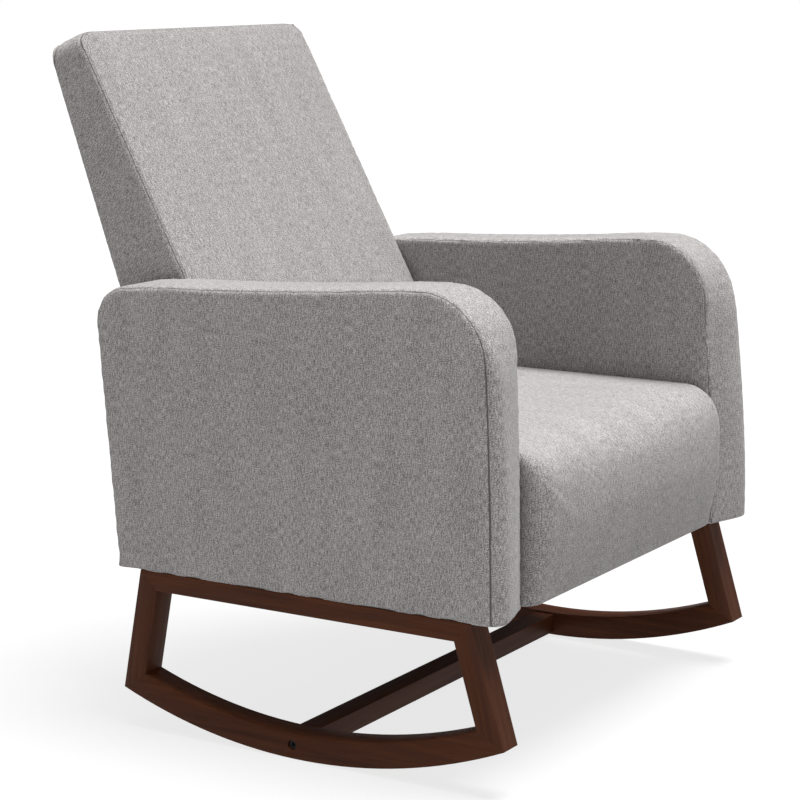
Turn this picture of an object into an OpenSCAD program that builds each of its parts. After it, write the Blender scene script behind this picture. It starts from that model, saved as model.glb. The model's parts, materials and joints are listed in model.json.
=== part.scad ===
// Upholstered rocking chair for a nursery: two closed timber rocker frames, a sprung seat,
// padded arms and a raked back. Millimetres, +Z up, the sitter faces -Y and the sitter's
// left is +X. The origin is on the floor, where the rockers touch it, midway between them.

/* [Rocker frames] */
// Width over the outside faces of the two rocker frames
base_w = 746; // [640:2:860]
// Height of the rocker frames, floor to the top of the top rails
base_h = 226; // [190:1:270]
// Radius of the rocking surface
rocker_radius = 785; // [650:5:1100]
// Thickness of every frame member, side to side
member_t = 38; // [32:1:50]
// Height of the curved rocker
rocker_h = 36; // [30:1:46]
// Height of the straight top rail
top_rail_h = 27; // [24:1:36]
// Depth of the sloping posts
post_w = 32; // [28:1:44]
// How far the rocker reaches ahead of the floor contact
front_tip_y = 313; // [290:1:370]
// How far the rocker reaches behind the floor contact
rear_tip_y = 288; // [270:1:370]
// Front end of the top rail, ahead of the floor contact
front_top_y = 265; // [245:1:285]
// Rear end of the top rail, behind the floor contact
rear_top_y = 256; // [240:1:268]

/* [Crossbar] */
// Depth of the crossbar, front to back
crossbar_d = 34; // [26:1:50]
// Height of the crossbar
crossbar_h = 28; // [24:1:32]
// Middle of the crossbar behind the floor contact
crossbar_y = 8; // [-40:1:40]

/* [Arms] */
// Width of one arm over its covers
arm_w = 97; // [80:1:130]
// How far the outer arm covers stand out past the rocker frames
arm_proud = 3; // [0:1:10]
// Front edge of the arm at its foot, ahead of the floor contact
arm_front_y = 292; // [280:1:340]
// How far the front edge leans back by the top of the arm
arm_front_rake = 14; // [0:1:30]
// Rear edge of the arm at its foot, behind the floor contact
arm_rear_y = 295; // [285:1:320]
// How far the rear edge leans back by the top of the arm
arm_rear_rake = 35; // [10:1:50]
// Height of the arm above the rocker frame, at its front
arm_front_rise = 420; // [360:2:480]
// Height of the arm above the rocker frame, at its rear
arm_rear_rise = 384; // [350:2:440]
// Radius of the arm's front top corner
arm_front_r = 86; // [50:1:110]
// Radius of the arm's rear top corner
arm_rear_r = 50; // [35:1:70]
// Foam around the edge of the arm
arm_foam_t = 12; // [8:1:18]
// Depth of the arm's front timber post
arm_front_post_d = 70; // [62:1:90]
// Depth of the arm's rear timber post
arm_rear_post_d = 30; // [28:1:50]
// Thickness of the arm's top and bottom planks
arm_plank_t = 22; // [18:1:28]

/* [Seat] */
// Height of the seat cushion above the rocker frame
seat_rise = 214; // [180:2:260]
// How far the seat front swells ahead of the floor contact
seat_front_y = 320; // [310:1:350]
// Radius of the seat's front edge
seat_front_r = 52; // [30:1:70]
// Depth of the seat cushion, front edge to back cushion
seat_depth = 468; // [420:2:520]
// Gap between a seat or back cushion and the arm beside it
side_gap = 0.5; // [0.3:0.1:3]
// Thickness of the seat frame's side and rear rails
seat_rail_t = 22; // [18:1:28]
// Thickness of the seat frame's front rail
seat_front_rail_t = 30; // [22:1:36]
// Foam in front of the seat frame, at its thickest
seat_nose_foam = 58; // [40:1:70]
// Height of the seat frame rails
seat_rail_h = 92; // [80:1:105]
// Number of sinuous springs
spring_count = 5; // [3:1:6]
// Diameter of the spring wire
spring_wire_d = 3.8; // [3:0.1:5]
// How far the springs arch above their clips
spring_crown = 12; // [6:1:16]

/* [Back] */
// Lean of the back's front face from upright, in degrees
back_lean = 28.4; // [20:0.2:32]
// Height of the whole chair
chair_h = 950; // [860:2:1040]
// Thickness of the back at its top, front to back
back_top_t = 52; // [46:1:70]
// Foot of the rear cover, behind the floor contact
back_foot_y = 289; // [280:1:300]
// Place of the bend in the rear face, behind the floor contact
back_bend_y = 335; // [320:1:350]
// Height of the bend in the rear face above the rocker frame
back_bend_rise = 309; // [260:1:340]
// Radius of the back's two top corners, seen from the front
back_corner_r = 30; // [16:1:40]
// Thickness of the back foam
back_foam_t = 20; // [16:1:26]
// Thickness of the back's plywood sides
back_side_t = 15; // [12:1:22]
// Number of elastic straps across the back
strap_count = 7; // [5:1:9]

/* [Covers and boards] */
// Thickness of a sewn cover
cover_t = 2; // [1:0.1:3]
// Thickness of the arm's hardboard panels
board_t = 3; // [2:0.5:5]

/* [Fasteners] */
// Thread diameter of the bolts
bolt_d = 8; // [6:1:8]
// Clearance of a bolt in its hole, on the diameter
bolt_gap = 0.8; // [0.4:0.1:1.2]
// Diameter of a bolt's socket head
bolt_head_d = 13; // [12:0.5:13.5]
// Height of a bolt's socket head
bolt_head_h = 8; // [6:0.5:8]
// Diameter of the hardwood dowels in the frame corners
dowel_d = 8; // [6:0.5:10]
// Length of the hardwood dowels in the frame corners
dowel_len = 18; // [14:1:20]

/* [Hidden] */

FRONT = -1;
REAR = 1;
RIGHT = -1;
LEFT = 1;
SIDES = [RIGHT, LEFT];
ENDS = [FRONT, REAR];
eps = 0.01;
arc_fn = 360;
round_fn = 48;
corner_steps = 8;

wood_colour = [0.22, 0.10, 0.07];
pine_colour = [0.80, 0.66, 0.45];
ply_colour = [0.74, 0.58, 0.38];
board_colour = [0.45, 0.33, 0.22];
fabric_colour = [0.62, 0.61, 0.60];
foam_colour = [0.93, 0.88, 0.68];
felt_colour = [0.50, 0.50, 0.48];
strap_colour = [0.20, 0.20, 0.22];
dust_colour = [0.09, 0.09, 0.10];
steel_colour = [0.55, 0.56, 0.58];
black_steel_colour = [0.07, 0.07, 0.08];

// Rocker frame
member_out_x = base_w / 2;
member_in_x = member_out_x - member_t;
member_mid_x = member_out_x - member_t / 2;
dowel_spread = member_t / 2;
dowel_slack = 1;

// Crossbar fixings
crossbar_z = rocker_h / 2 + 1;
bolt_bore_d = bolt_d + bolt_gap;
counterbore_d = bolt_head_d + bolt_gap;
counterbore_depth = 12;
socket_d = 0.86 * bolt_d;
socket_depth = 4;
nut_setback = 45;
nut_d = bolt_d + 4;
nut_len = 20;
nut_bore_d = nut_d + bolt_gap;
nut_bore_len = nut_len + 1;
crossbar_bolt_len = member_t - counterbore_depth + nut_setback + nut_d;
crossbar_bolt_bore = nut_setback + nut_d + 6;
thread_gap = 0.2;
washer_d = 2.5 * bolt_d;
washer_t = 1.6;
insert_d = bolt_d + 4;
insert_len = 18;

// Arm, from the outside face inwards
arm_out_x = member_out_x + arm_proud;
arm_in_x = arm_out_x - arm_w;
arm_foot_z = base_h;
inner_pad_t = 10;
arm_edge = cover_t + arm_foam_t;
outer_board_x = arm_out_x - cover_t - inner_pad_t / 2;
arm_timber_out_x = outer_board_x - board_t;
arm_timber_in_x = arm_in_x + cover_t + inner_pad_t + board_t;

// Outline of the arm in side view, as [y, z] with square corners
arm_corners = [
    [-arm_front_y, arm_foot_z],
    [-arm_front_y + arm_front_rake, arm_foot_z + arm_front_rise],
    [arm_rear_y + arm_rear_rake, arm_foot_z + arm_rear_rise],
    [arm_rear_y, arm_foot_z]];
arm_radii = [0, arm_front_r, arm_rear_r, 0];

// Back, as [y, z] in side view
seat_top_z = base_h + seat_rise;
back_half_w = arm_in_x - side_gap;
lean_slope = tan(back_lean);
back_at_seat_y = seat_depth - seat_front_y;
back_sole_z = seat_top_z - 36;
frame_drop = 2;
frame_z = base_h + frame_drop;
// Front face of the back at a given height
function back_front_at(z) = back_at_seat_y + (z - seat_top_z) * lean_slope;
back_bend_z = base_h + back_bend_rise;
back_top_front = [back_front_at(chair_h), chair_h];
back_top_rear = back_top_front + back_top_t * [cos(back_lean), -sin(back_lean) * 0.75];
back_web_t = 2;
strap_slack = 0.05;
back_foam_rear = cover_t + back_foam_t;
back_core = back_foam_rear + back_web_t;
back_rear_gap = 6;
back_side_out_x = back_half_w - cover_t - 3;
back_side_in_x = back_side_out_x - back_side_t;
back_rail_t = 15;
strap_w = 50;

// Seat frame
seat_rail_out_x = back_side_out_x + 2;
seat_rail_in_x = seat_rail_out_x - seat_rail_t;
seat_frame_rear_y = back_foot_y - 48;
seat_frame_front_y = -seat_front_y + seat_nose_foam;
seat_rail_z = frame_z + 2;
seat_rail_top_z = seat_rail_z + seat_rail_h;
clip_t = 1.6;
clip_len = 20;
clip_w = 16;
spring_z = seat_rail_top_z + clip_t + spring_wire_d / 2 + 0.3;
pad_t = 4;
pad_z = spring_z + spring_crown + spring_wire_d / 2 + 0.7;
seat_foam_z = pad_z + pad_t;
block_leg = 52;
block_inset = 10;
dust_t = 1;
dust_z = frame_z;
dust_margin = 8;
staple_w = 10;
staple_t = 0.8;
staple_pitch = 60;

// Outline of the seat in side view, as [y, z] with square corners
seat_nose_z = base_h + 104;
seat_tuck = 16;
seat_corners = [
    [-seat_front_y + seat_tuck, frame_z],
    [-seat_front_y, seat_nose_z],
    [-seat_front_y + 3, seat_top_z],
    [back_front_at(seat_top_z) - side_gap, seat_top_z],
    [back_front_at(back_sole_z) - side_gap, back_sole_z],
    [back_front_at(back_sole_z) - side_gap, frame_z]];
seat_radii = [0, 20, seat_front_r, 0, 0, 0];

// Bolts that hold the seat and the back to the arms, as [y, z]
seat_bolt_y = seat_frame_front_y + seat_front_rail_t + bolt_head_d;
back_bolt_y = seat_frame_rear_y + washer_d;
low_bolt_z = frame_z + 34;
high_bolt_z = low_bolt_z + 32;
back_bolt_z = base_h + 254;
back_bolt_step = 23;
side_bolts = [
    [seat_bolt_y, low_bolt_z],
    [seat_bolt_y, high_bolt_z],
    [back_bolt_y, low_bolt_z],
    [back_bolt_y + back_bolt_step, back_bolt_z]];
side_bolt_tip_x = arm_timber_in_x + insert_len - 1;

// Bolts that hold the arms to the rocker frames, by their place along the rail; their heads
// lie in recesses under the rails, and the nuts' flanges just clear the arm's outer board
base_bolt_ys = [-190, 0, 190];
tee_flange_d = 2.75 * bolt_d;
base_bolt_x = arm_timber_out_x - 1 - tee_flange_d / 2;
tee_flange_t = 1.5;
tee_barrel_d = bolt_d + 2.5;
tee_barrel_len = 10;
button_head_d = 1.75 * bolt_d;
button_head_h = 4.6;
base_recess_d = washer_d + bolt_gap;
base_head_z = base_h - top_rail_h + 1;
base_washer_z = base_head_z + button_head_h;

// Unit vector along v
function unit(v) = v / norm(v);
// v turned a quarter turn, clockwise
function right_of(v) = [v.y, -v.x];
// Where line p + t u meets line q + s v
function meet(p, u, q, v) = p + u * cross(q - p, v) / cross(u, v);

// Closed outline with every edge moved inwards, edge i by ds[i]; corners run clockwise
function inset(pts, ds) =
    let (n = len(pts))
    [for (i = [0 : n - 1])
        let (
            a = pts[(i + n - 1) % n], b = pts[i], c = pts[(i + 1) % n],
            u = unit(b - a), v = unit(c - b),
            p = b + right_of(u) * ds[(i + n - 1) % n],
            q = b + right_of(v) * ds[i])
        meet(p, u, q, v)];

// Closed outline with each corner i rounded to rs[i]
function rounded(pts, rs) =
    let (n = len(pts))
    [for (i = [0 : n - 1])
        let (
            b = pts[i],
            u = unit(pts[(i + n - 1) % n] - b),
            v = unit(pts[(i + 1) % n] - b),
            half = acos(u * v) / 2,
            r = rs[i])
        each (r <= 0 ? [b] :
            let (
                centre = b + unit(u + v) * r / sin(half),
                p = b + u * r / tan(half) - centre,
                q = b + v * r / tan(half) - centre,
                turn = atan2(cross(p, q), p * q))
            [for (k = [0 : corner_steps])
                let (t = turn * k / corner_steps)
                centre + [p.x * cos(t) - p.y * sin(t), p.x * sin(t) + p.y * cos(t)]])];

// Arm outline inset by d, with its foot moved by foot
function arm_outline(d, foot) =
    rounded(inset(arm_corners, [d, d, d, foot]), [for (r = arm_radii) max(r - d, 0)]);

// Side view drawn in [y, z], made solid from x0 to x1
module across(x0, x1) {
    translate([x0, 0, 0])
        rotate([90, 0, 90])
            linear_extrude(x1 - x0) children();
}

// The same on one side of the chair: from in_x out to out_x
module on_side(side, in_x, out_x) {
    across(side > 0 ? in_x : -out_x, side > 0 ? out_x : -in_x) children();
}

// Round bar along X, from x0 to x1, through [y, z]
module bar_x(p, d, x0, x1) {
    translate([x0, p.x, p.y])
        rotate([0, 90, 0])
            cylinder(d = d, h = x1 - x0, $fn = round_fn);
}

module bar_x_on_side(side, p, d, in_x, out_x) {
    bar_x(p, d, side > 0 ? in_x : -out_x, side > 0 ? out_x : -in_x);
}

module box(x, y, z) {
    translate([x[0], y[0], z[0]])
        cube([x[1] - x[0], y[1] - y[0], z[1] - z[0]]);
}

// ---- Rocker frames ----

// Height of an arc of radius r about the rocking centre, at y
function arc_z(y, r) = rocker_radius - sqrt(r * r - y * y);

// Corners of a post: outer top, inner top, inner foot, outer foot
function post_corners(end) =
    let (
        top = [end * (end == FRONT ? front_top_y : rear_top_y), base_h],
        tip_y = end == FRONT ? front_tip_y : rear_tip_y,
        tip = [end * tip_y, arc_z(tip_y, rocker_radius)],
        u = unit(tip - top),
        start = top + right_of(u) * end * post_w,
        inner_top = start + u * (base_h - top_rail_h - start.y) / u.y,
        from_centre = start - [0, rocker_radius],
        b = from_centre * u,
        c = from_centre * from_centre - pow(rocker_radius - rocker_h, 2),
        inner_foot = start + u * (-b + sqrt(b * b - c)))
    [top, inner_top, inner_foot, tip];

front_post = post_corners(FRONT);
rear_post = post_corners(REAR);
mitres = [
    [front_post[0], front_post[1]],
    [front_post[2], front_post[3]],
    [rear_post[0], rear_post[1]],
    [rear_post[2], rear_post[3]]];

// Dowels across every mitre of one frame
module dowels(side, d, length) {
    for (m = mitres)
        for (offset = [-dowel_spread / 2, dowel_spread / 2]) {
            mid = (m[0] + m[1]) / 2;
            along = unit(m[1] - m[0]);
            translate([side * member_mid_x + offset, mid.x, mid.y])
                rotate([atan2(along.y, along.x), 0, 0])
                    cylinder(d = d, h = length, center = true, $fn = round_fn);
        }
}

module member(side, outline) {
    color(wood_colour)
        difference() {
            on_side(side, member_in_x, member_out_x) polygon(outline);
            dowels(side, dowel_d, dowel_len + dowel_slack);
            base_bolt_holes(side);
        }
}

// Point on the line from a through b, beyond b by the rocker's depth
function past(a, b) = b + unit(b - a) * rocker_h;

module rocker(side) {
    color(wood_colour)
        difference() {
            on_side(side, member_in_x, member_out_x)
                intersection() {
                    translate([0, rocker_radius])
                        difference() {
                            circle(r = rocker_radius, $fn = arc_fn);
                            circle(r = rocker_radius - rocker_h, $fn = arc_fn);
                        }
                    polygon([past(front_post[2], front_post[3]), front_post[2],
                        rear_post[2], past(rear_post[2], rear_post[3]),
                        [rear_post[3].x, -rocker_h], [front_post[3].x, -rocker_h]]);
                }
            dowels(side, dowel_d, dowel_len + dowel_slack);
            bar_x_on_side(side, [crossbar_y, crossbar_z], bolt_bore_d,
                member_in_x - 1, member_out_x + 1);
            bar_x_on_side(side, [crossbar_y, crossbar_z], counterbore_d,
                member_out_x - counterbore_depth, member_out_x + 1);
        }
}

module right_rocker() rocker(RIGHT);
module left_rocker() rocker(LEFT);
module right_front_post() member(RIGHT, front_post);
module left_front_post() member(LEFT, front_post);
module right_rear_post() member(RIGHT, rear_post);
module left_rear_post() member(LEFT, rear_post);

top_rail_outline = [front_post[0], rear_post[0], rear_post[1], front_post[1]];
module right_top_rail() member(RIGHT, top_rail_outline);
module left_top_rail() member(LEFT, top_rail_outline);

module frame_dowels() {
    color(pine_colour)
        for (side = SIDES)
            dowels(side, dowel_d - thread_gap, dowel_len);
}

module crossbar() {
    color(wood_colour)
        difference() {
            box([-member_in_x, member_in_x],
                [crossbar_y - crossbar_d / 2, crossbar_y + crossbar_d / 2],
                [crossbar_z - crossbar_h / 2, crossbar_z + crossbar_h / 2]);
            for (side = SIDES) {
                bar_x_on_side(side, [crossbar_y, crossbar_z], bolt_bore_d,
                    member_in_x - crossbar_bolt_bore, member_in_x + 1);
                translate([side * (member_in_x - nut_setback), crossbar_y, crossbar_z])
                    translate([0, 0, -crossbar_h])
                        cylinder(d = nut_bore_d, h = crossbar_h + nut_bore_len / 2,
                            $fn = round_fn);
            }
        }
}

// Socket-headed bolt along X; the head's underside is at head_x and the shank runs inwards
module socket_bolt(side, p, head_x, length) {
    color(black_steel_colour)
        difference() {
            union() {
                bar_x_on_side(side, p, bolt_d, head_x - length, head_x + eps);
                bar_x_on_side(side, p, bolt_head_d, head_x, head_x + bolt_head_h);
            }
            translate([side * (head_x + bolt_head_h), p.x, p.y])
                rotate([0, 90, 0])
                    cylinder(d = socket_d, h = 2 * socket_depth, center = true, $fn = 6);
        }
}

module crossbar_bolts() {
    for (side = SIDES)
        socket_bolt(side, [crossbar_y, crossbar_z], member_out_x - counterbore_depth,
            crossbar_bolt_len);
}

module barrel_nuts() {
    color(steel_colour)
        for (side = SIDES)
            difference() {
                translate([side * (member_in_x - nut_setback), crossbar_y, crossbar_z])
                    cylinder(d = nut_d, h = nut_len, center = true, $fn = round_fn);
                bar_x_on_side(side, [crossbar_y, crossbar_z], bolt_d + thread_gap,
                    member_in_x - nut_setback - nut_d, member_in_x);
            }
}

// ---- Fixings between the rocker frames and the arms ----

module at_base_bolts(side, z) {
    for (y = base_bolt_ys)
        translate([side * base_bolt_x, y, z]) children();
}

module base_bolt_holes(side) {
    mouth_z = base_h - top_rail_h - 1;
    at_base_bolts(side, mouth_z)
        cylinder(d = bolt_bore_d, h = top_rail_h + arm_plank_t + 2, $fn = round_fn);
    at_base_bolts(side, mouth_z)
        cylinder(d = base_recess_d, h = base_washer_z + washer_t - mouth_z, $fn = round_fn);
}

module base_bolts() {
    shank = base_h + arm_plank_t + tee_flange_t + 2 - base_head_z;
    color(black_steel_colour)
        for (side = SIDES)
            at_base_bolts(side, base_head_z)
                difference() {
                    union() {
                        cylinder(d = button_head_d, h = button_head_h, $fn = round_fn);
                        cylinder(d = bolt_d, h = shank, $fn = round_fn);
                    }
                    cylinder(d = socket_d, h = 2 * socket_depth - 2, center = true,
                        $fn = 6);
                }
}

module base_washers() {
    color(steel_colour)
        for (side = SIDES)
            at_base_bolts(side, base_washer_z)
                difference() {
                    cylinder(d = washer_d, h = washer_t, $fn = round_fn);
                    translate([0, 0, -1])
                        cylinder(d = bolt_bore_d, h = washer_t + 2, $fn = round_fn);
                }
}

module base_tee_nuts() {
    plank_top_z = base_h + arm_plank_t;
    color(steel_colour)
        for (side = SIDES)
            at_base_bolts(side, plank_top_z - tee_barrel_len)
                difference() {
                    union() {
                        cylinder(d = tee_barrel_d, h = tee_barrel_len + tee_flange_t,
                            $fn = round_fn);
                        translate([0, 0, tee_barrel_len])
                            cylinder(d = tee_flange_d, h = tee_flange_t, $fn = round_fn);
                    }
                    translate([0, 0, -1])
                        cylinder(d = bolt_d + thread_gap,
                            h = tee_barrel_len + tee_flange_t + 2, $fn = round_fn);
                }
}

// ---- Arms ----

// Holes through everything between the seat or back and the arm's timber
module side_bolt_holes(side, d, in_x, out_x) {
    for (p = side_bolts)
        bar_x_on_side(side, p, d, in_x, out_x);
}

module arm_plate(side, in_x, out_x, d) {
    difference() {
        on_side(side, in_x, out_x) polygon(arm_outline(d, 0));
        side_bolt_holes(side, bolt_bore_d, arm_in_x - 1, arm_timber_in_x + eps);
    }
}

module arm_outer_cover(side) {
    color(fabric_colour) arm_plate(side, arm_out_x - cover_t, arm_out_x, 0);
}

module arm_inner_cover(side) {
    color(fabric_colour) arm_plate(side, arm_in_x, arm_in_x + cover_t, 0);
}

// Band round the arm's edge, open at the foot
module arm_band(side, d, t) {
    on_side(side, arm_in_x + cover_t, arm_out_x - cover_t)
        difference() {
            polygon(arm_outline(d, 0));
            polygon(arm_outline(d + t, -arm_edge));
        }
}

module arm_boxing(side) {
    color(fabric_colour) arm_band(side, 0, cover_t);
}

module arm_foam(side) {
    color(foam_colour)
        difference() {
            union() {
                arm_band(side, cover_t, arm_foam_t);
                on_side(side, arm_in_x + cover_t, arm_timber_in_x - board_t)
                    polygon(arm_outline(arm_edge - eps, 0));
                on_side(side, outer_board_x, arm_out_x - cover_t)
                    polygon(arm_outline(arm_edge - eps, 0));
            }
            side_bolt_holes(side, bolt_bore_d, arm_in_x - 1, arm_timber_in_x);
        }
}

module arm_outer_board(side) {
    color(board_colour) arm_plate(side, outer_board_x - board_t, outer_board_x, arm_edge);
}

module arm_inner_board(side) {
    color(board_colour)
        arm_plate(side, arm_timber_in_x - board_t, arm_timber_in_x, arm_edge);
}

// Timber of the arm inside its boards, cut to a strip of the side view
module arm_timber(side, strip) {
    color(pine_colour)
        difference() {
            on_side(side, arm_timber_in_x, arm_timber_out_x)
                intersection() {
                    polygon(arm_outline(arm_edge, 0));
                    polygon(strip);
                }
            side_bolt_holes(side, insert_d + thread_gap,
                arm_timber_in_x - 1, arm_timber_in_x + insert_len + 1);
            base_bolt_holes(side);
            at_base_bolts(side, base_h + arm_plank_t - tee_barrel_len)
                cylinder(d = tee_barrel_d + thread_gap, h = tee_barrel_len + 1,
                    $fn = round_fn);
        }
}

// Corners of the arm's timber, and of the space within its planks and posts
timber_out = inset(arm_corners, [arm_edge, arm_edge, arm_edge, 0]);
timber_in = inset(arm_corners, [arm_edge + arm_front_post_d, arm_edge + arm_plank_t,
    arm_edge + arm_rear_post_d, arm_plank_t]);
// Where the top plank's underside and the bottom plank's top meet the outer edges
timber_up = inset(arm_corners, [arm_edge, arm_edge + arm_plank_t, arm_edge, arm_plank_t]);

module arm_front_post(side) {
    arm_timber(side, [timber_up[0], timber_up[1], timber_in[1], timber_in[0]]);
}

module arm_rear_post(side) {
    arm_timber(side, [timber_in[3], timber_in[2], timber_up[2], timber_up[3]]);
}

module arm_top_plank(side) {
    arm_timber(side, [timber_up[1], timber_out[1], timber_out[2], timber_up[2]]);
}

module arm_bottom_plank(side) {
    arm_timber(side, [timber_out[0], timber_up[0], timber_up[3], timber_out[3]]);
}

module right_arm_outer_cover() arm_outer_cover(RIGHT);
module left_arm_outer_cover() arm_outer_cover(LEFT);
module right_arm_inner_cover() arm_inner_cover(RIGHT);
module left_arm_inner_cover() arm_inner_cover(LEFT);
module right_arm_boxing() arm_boxing(RIGHT);
module left_arm_boxing() arm_boxing(LEFT);
module right_arm_foam() arm_foam(RIGHT);
module left_arm_foam() arm_foam(LEFT);
module right_arm_outer_board() arm_outer_board(RIGHT);
module left_arm_outer_board() arm_outer_board(LEFT);
module right_arm_inner_board() arm_inner_board(RIGHT);
module left_arm_inner_board() arm_inner_board(LEFT);
module right_arm_front_post() arm_front_post(RIGHT);
module left_arm_front_post() arm_front_post(LEFT);
module right_arm_rear_post() arm_rear_post(RIGHT);
module left_arm_rear_post() arm_rear_post(LEFT);
module right_arm_top_plank() arm_top_plank(RIGHT);
module left_arm_top_plank() arm_top_plank(LEFT);
module right_arm_bottom_plank() arm_bottom_plank(RIGHT);
module left_arm_bottom_plank() arm_bottom_plank(LEFT);

// ---- Bolts between the seat or back and the arms ----

module arm_bolts() {
    for (side = SIDES)
        for (p = side_bolts)
            mirror([side > 0 ? 1 : 0, 0, 0])
                socket_bolt(LEFT, p, -(seat_rail_in_x_at(p) - washer_t),
                    side_bolt_tip_x - seat_rail_in_x_at(p) + washer_t);
}

// Inner face of the seat rail or back side that the bolt at p goes through
function seat_rail_in_x_at(p) = p.x == seat_bolt_y ? seat_rail_in_x : back_side_in_x;

module arm_bolt_washers() {
    color(steel_colour)
        for (side = SIDES)
            for (p = side_bolts)
                difference() {
                    bar_x_on_side(side, p, washer_d, seat_rail_in_x_at(p) - washer_t,
                        seat_rail_in_x_at(p));
                    bar_x_on_side(side, p, bolt_bore_d, seat_rail_in_x_at(p) - 3,
                        seat_rail_in_x_at(p) + 1);
                }
}

module arm_insert_nuts() {
    color(steel_colour)
        for (side = SIDES)
            for (p = side_bolts)
                difference() {
                    bar_x_on_side(side, p, insert_d, arm_timber_in_x,
                        arm_timber_in_x + insert_len);
                    bar_x_on_side(side, p, bolt_d + thread_gap, arm_timber_in_x - 1,
                        arm_timber_in_x + insert_len + 1);
                }
}

// ---- Seat ----

module seat_side_rail(side) {
    color(pine_colour)
        difference() {
            on_side(side, seat_rail_in_x, seat_rail_out_x)
                polygon([
                    [seat_frame_front_y + seat_front_rail_t, seat_rail_z],
                    [seat_frame_front_y + seat_front_rail_t, seat_rail_top_z],
                    [seat_frame_rear_y - seat_rail_t, seat_rail_top_z],
                    [seat_frame_rear_y - seat_rail_t, seat_rail_z]]);
            side_bolt_holes(side, bolt_bore_d, seat_rail_in_x - 1, seat_rail_out_x + 1);
        }
}

module seat_cross_rail(y0, y1) {
    color(pine_colour)
        box([-seat_rail_out_x, seat_rail_out_x], [y0, y1], [seat_rail_z, seat_rail_top_z]);
}

module seat_front_rail() {
    seat_cross_rail(seat_frame_front_y, seat_frame_front_y + seat_front_rail_t);
}

module seat_rear_rail() {
    seat_cross_rail(seat_frame_rear_y - seat_rail_t, seat_frame_rear_y);
}
module seat_right_rail() seat_side_rail(RIGHT);
module seat_left_rail() seat_side_rail(LEFT);

// Glue blocks in the corners of the seat frame, clear of the bolt heads
module seat_corner_blocks() {
    block_z = seat_rail_top_z - block_inset;
    color(pine_colour)
        for (side = SIDES)
            for (end = ENDS) {
                corner_y = end == FRONT ? seat_frame_front_y + seat_front_rail_t
                    : seat_frame_rear_y - seat_rail_t;
                translate([side * seat_rail_in_x, corner_y, block_z - block_inset / 2])
                    linear_extrude(block_inset)
                        polygon([[0, 0], [-side * block_leg, 0], [0, -end * block_leg]]);
            }
}

spring_inset = 11;
spring_span = seat_frame_rear_y - seat_frame_front_y - 2 * spring_inset;
spring_start_y = seat_frame_front_y + spring_inset;
spring_waves = 9;
spring_straight = 22;
spring_half_w = 21;
wave_rings = 9;
wire_sides = 6;
spring_rings = spring_waves * wave_rings;
spring_pitch = (2 * seat_rail_in_x - 40) / spring_count;
function spring_x(i) = (i - (spring_count - 1) / 2) * spring_pitch;

// Centre of the spring wire, t from 0 at the front clip to 1 at the rear clip
function spring_point(t) =
    let (
        wave_len = spring_span - 2 * spring_straight,
        s = t * spring_span,
        w = min(max((s - spring_straight) / wave_len, 0), 1),
        swing = spring_half_w * min(1, min(w, 1 - w) * spring_waves * 2))
    [swing * sin(360 * spring_waves * w), spring_start_y + s,
        spring_z + spring_crown * 4 * w * (1 - w)];

// Rings of the wire, each square to its path
function wire_ring(t) =
    let (
        p = spring_point(t),
        d = spring_point(min(t + 0.0005, 1)) - spring_point(max(t - 0.0005, 0)),
        u = unit(d),
        side = unit(cross(u, [0, 0, 1])),
        up = cross(side, u))
    [for (k = [0 : wire_sides - 1])
        p + spring_wire_d / 2 * (side * cos(360 * k / wire_sides)
            + up * sin(360 * k / wire_sides))];

module spring() {
    n = spring_rings;
    rings = [for (i = [0 : n]) each wire_ring(i / n)];
    walls = [for (i = [0 : n - 1]) for (k = [0 : wire_sides - 1])
        let (next = (k + 1) % wire_sides)
        [i * wire_sides + k, i * wire_sides + next,
            (i + 1) * wire_sides + next, (i + 1) * wire_sides + k]];
    front_cap = [for (k = [0 : wire_sides - 1]) wire_sides - 1 - k];
    rear_cap = [for (k = [0 : wire_sides - 1]) n * wire_sides + k];
    polyhedron(rings, concat([front_cap], walls, [rear_cap]));
}

module seat_springs() {
    color(steel_colour)
        for (i = [0 : spring_count - 1])
            translate([spring_x(i), 0, 0]) spring();
}

// Saddle clip: a plate under the wire and an arch over it
module spring_clip() {
    arch_r = spring_wire_d / 2 + 0.4;
    difference() {
        union() {
            translate([-clip_w / 2, -clip_len / 2, 0])
                cube([clip_w, clip_len, clip_t]);
            translate([0, clip_len / 2 - 1, spring_z - seat_rail_top_z])
                rotate([90, 0, 0])
                    cylinder(r = arch_r + clip_t, h = clip_len - 2, $fn = round_fn);
        }
        translate([0, clip_len, spring_z - seat_rail_top_z])
            rotate([90, 0, 0])
                cylinder(r = arch_r, h = 2 * clip_len, $fn = round_fn);
        translate([-clip_w, -clip_len, -2 * clip_t])
            cube([2 * clip_w, 2 * clip_len, 2 * clip_t]);
    }
}

module spring_clips() {
    color(steel_colour)
        for (i = [0 : spring_count - 1])
            for (y = [spring_start_y, spring_start_y + spring_span])
                translate([spring_x(i), y, seat_rail_top_z]) spring_clip();
}

module spring_pad() {
    color(felt_colour)
        box([-seat_rail_out_x, seat_rail_out_x],
            [seat_frame_front_y, back_front_at(back_sole_z) - 2 * cover_t],
            [pad_z, pad_z + pad_t]);
}

// Seat outline inset by d, with its foot and rear edge moved by open
function seat_outline(d, open) =
    rounded(inset(seat_corners, [d, d, d, d, open, open]),
        [for (r = seat_radii) max(r - d, 0)]);

module seat_cover() {
    color(fabric_colour)
        difference() {
            across(-back_half_w, back_half_w) polygon(seat_outline(0, 0));
            across(-back_half_w + cover_t, back_half_w - cover_t)
                polygon(seat_outline(cover_t, -3));
            for (side = SIDES)
                side_bolt_holes(side, bolt_bore_d, seat_rail_in_x, arm_in_x + 1);
        }
}

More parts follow.
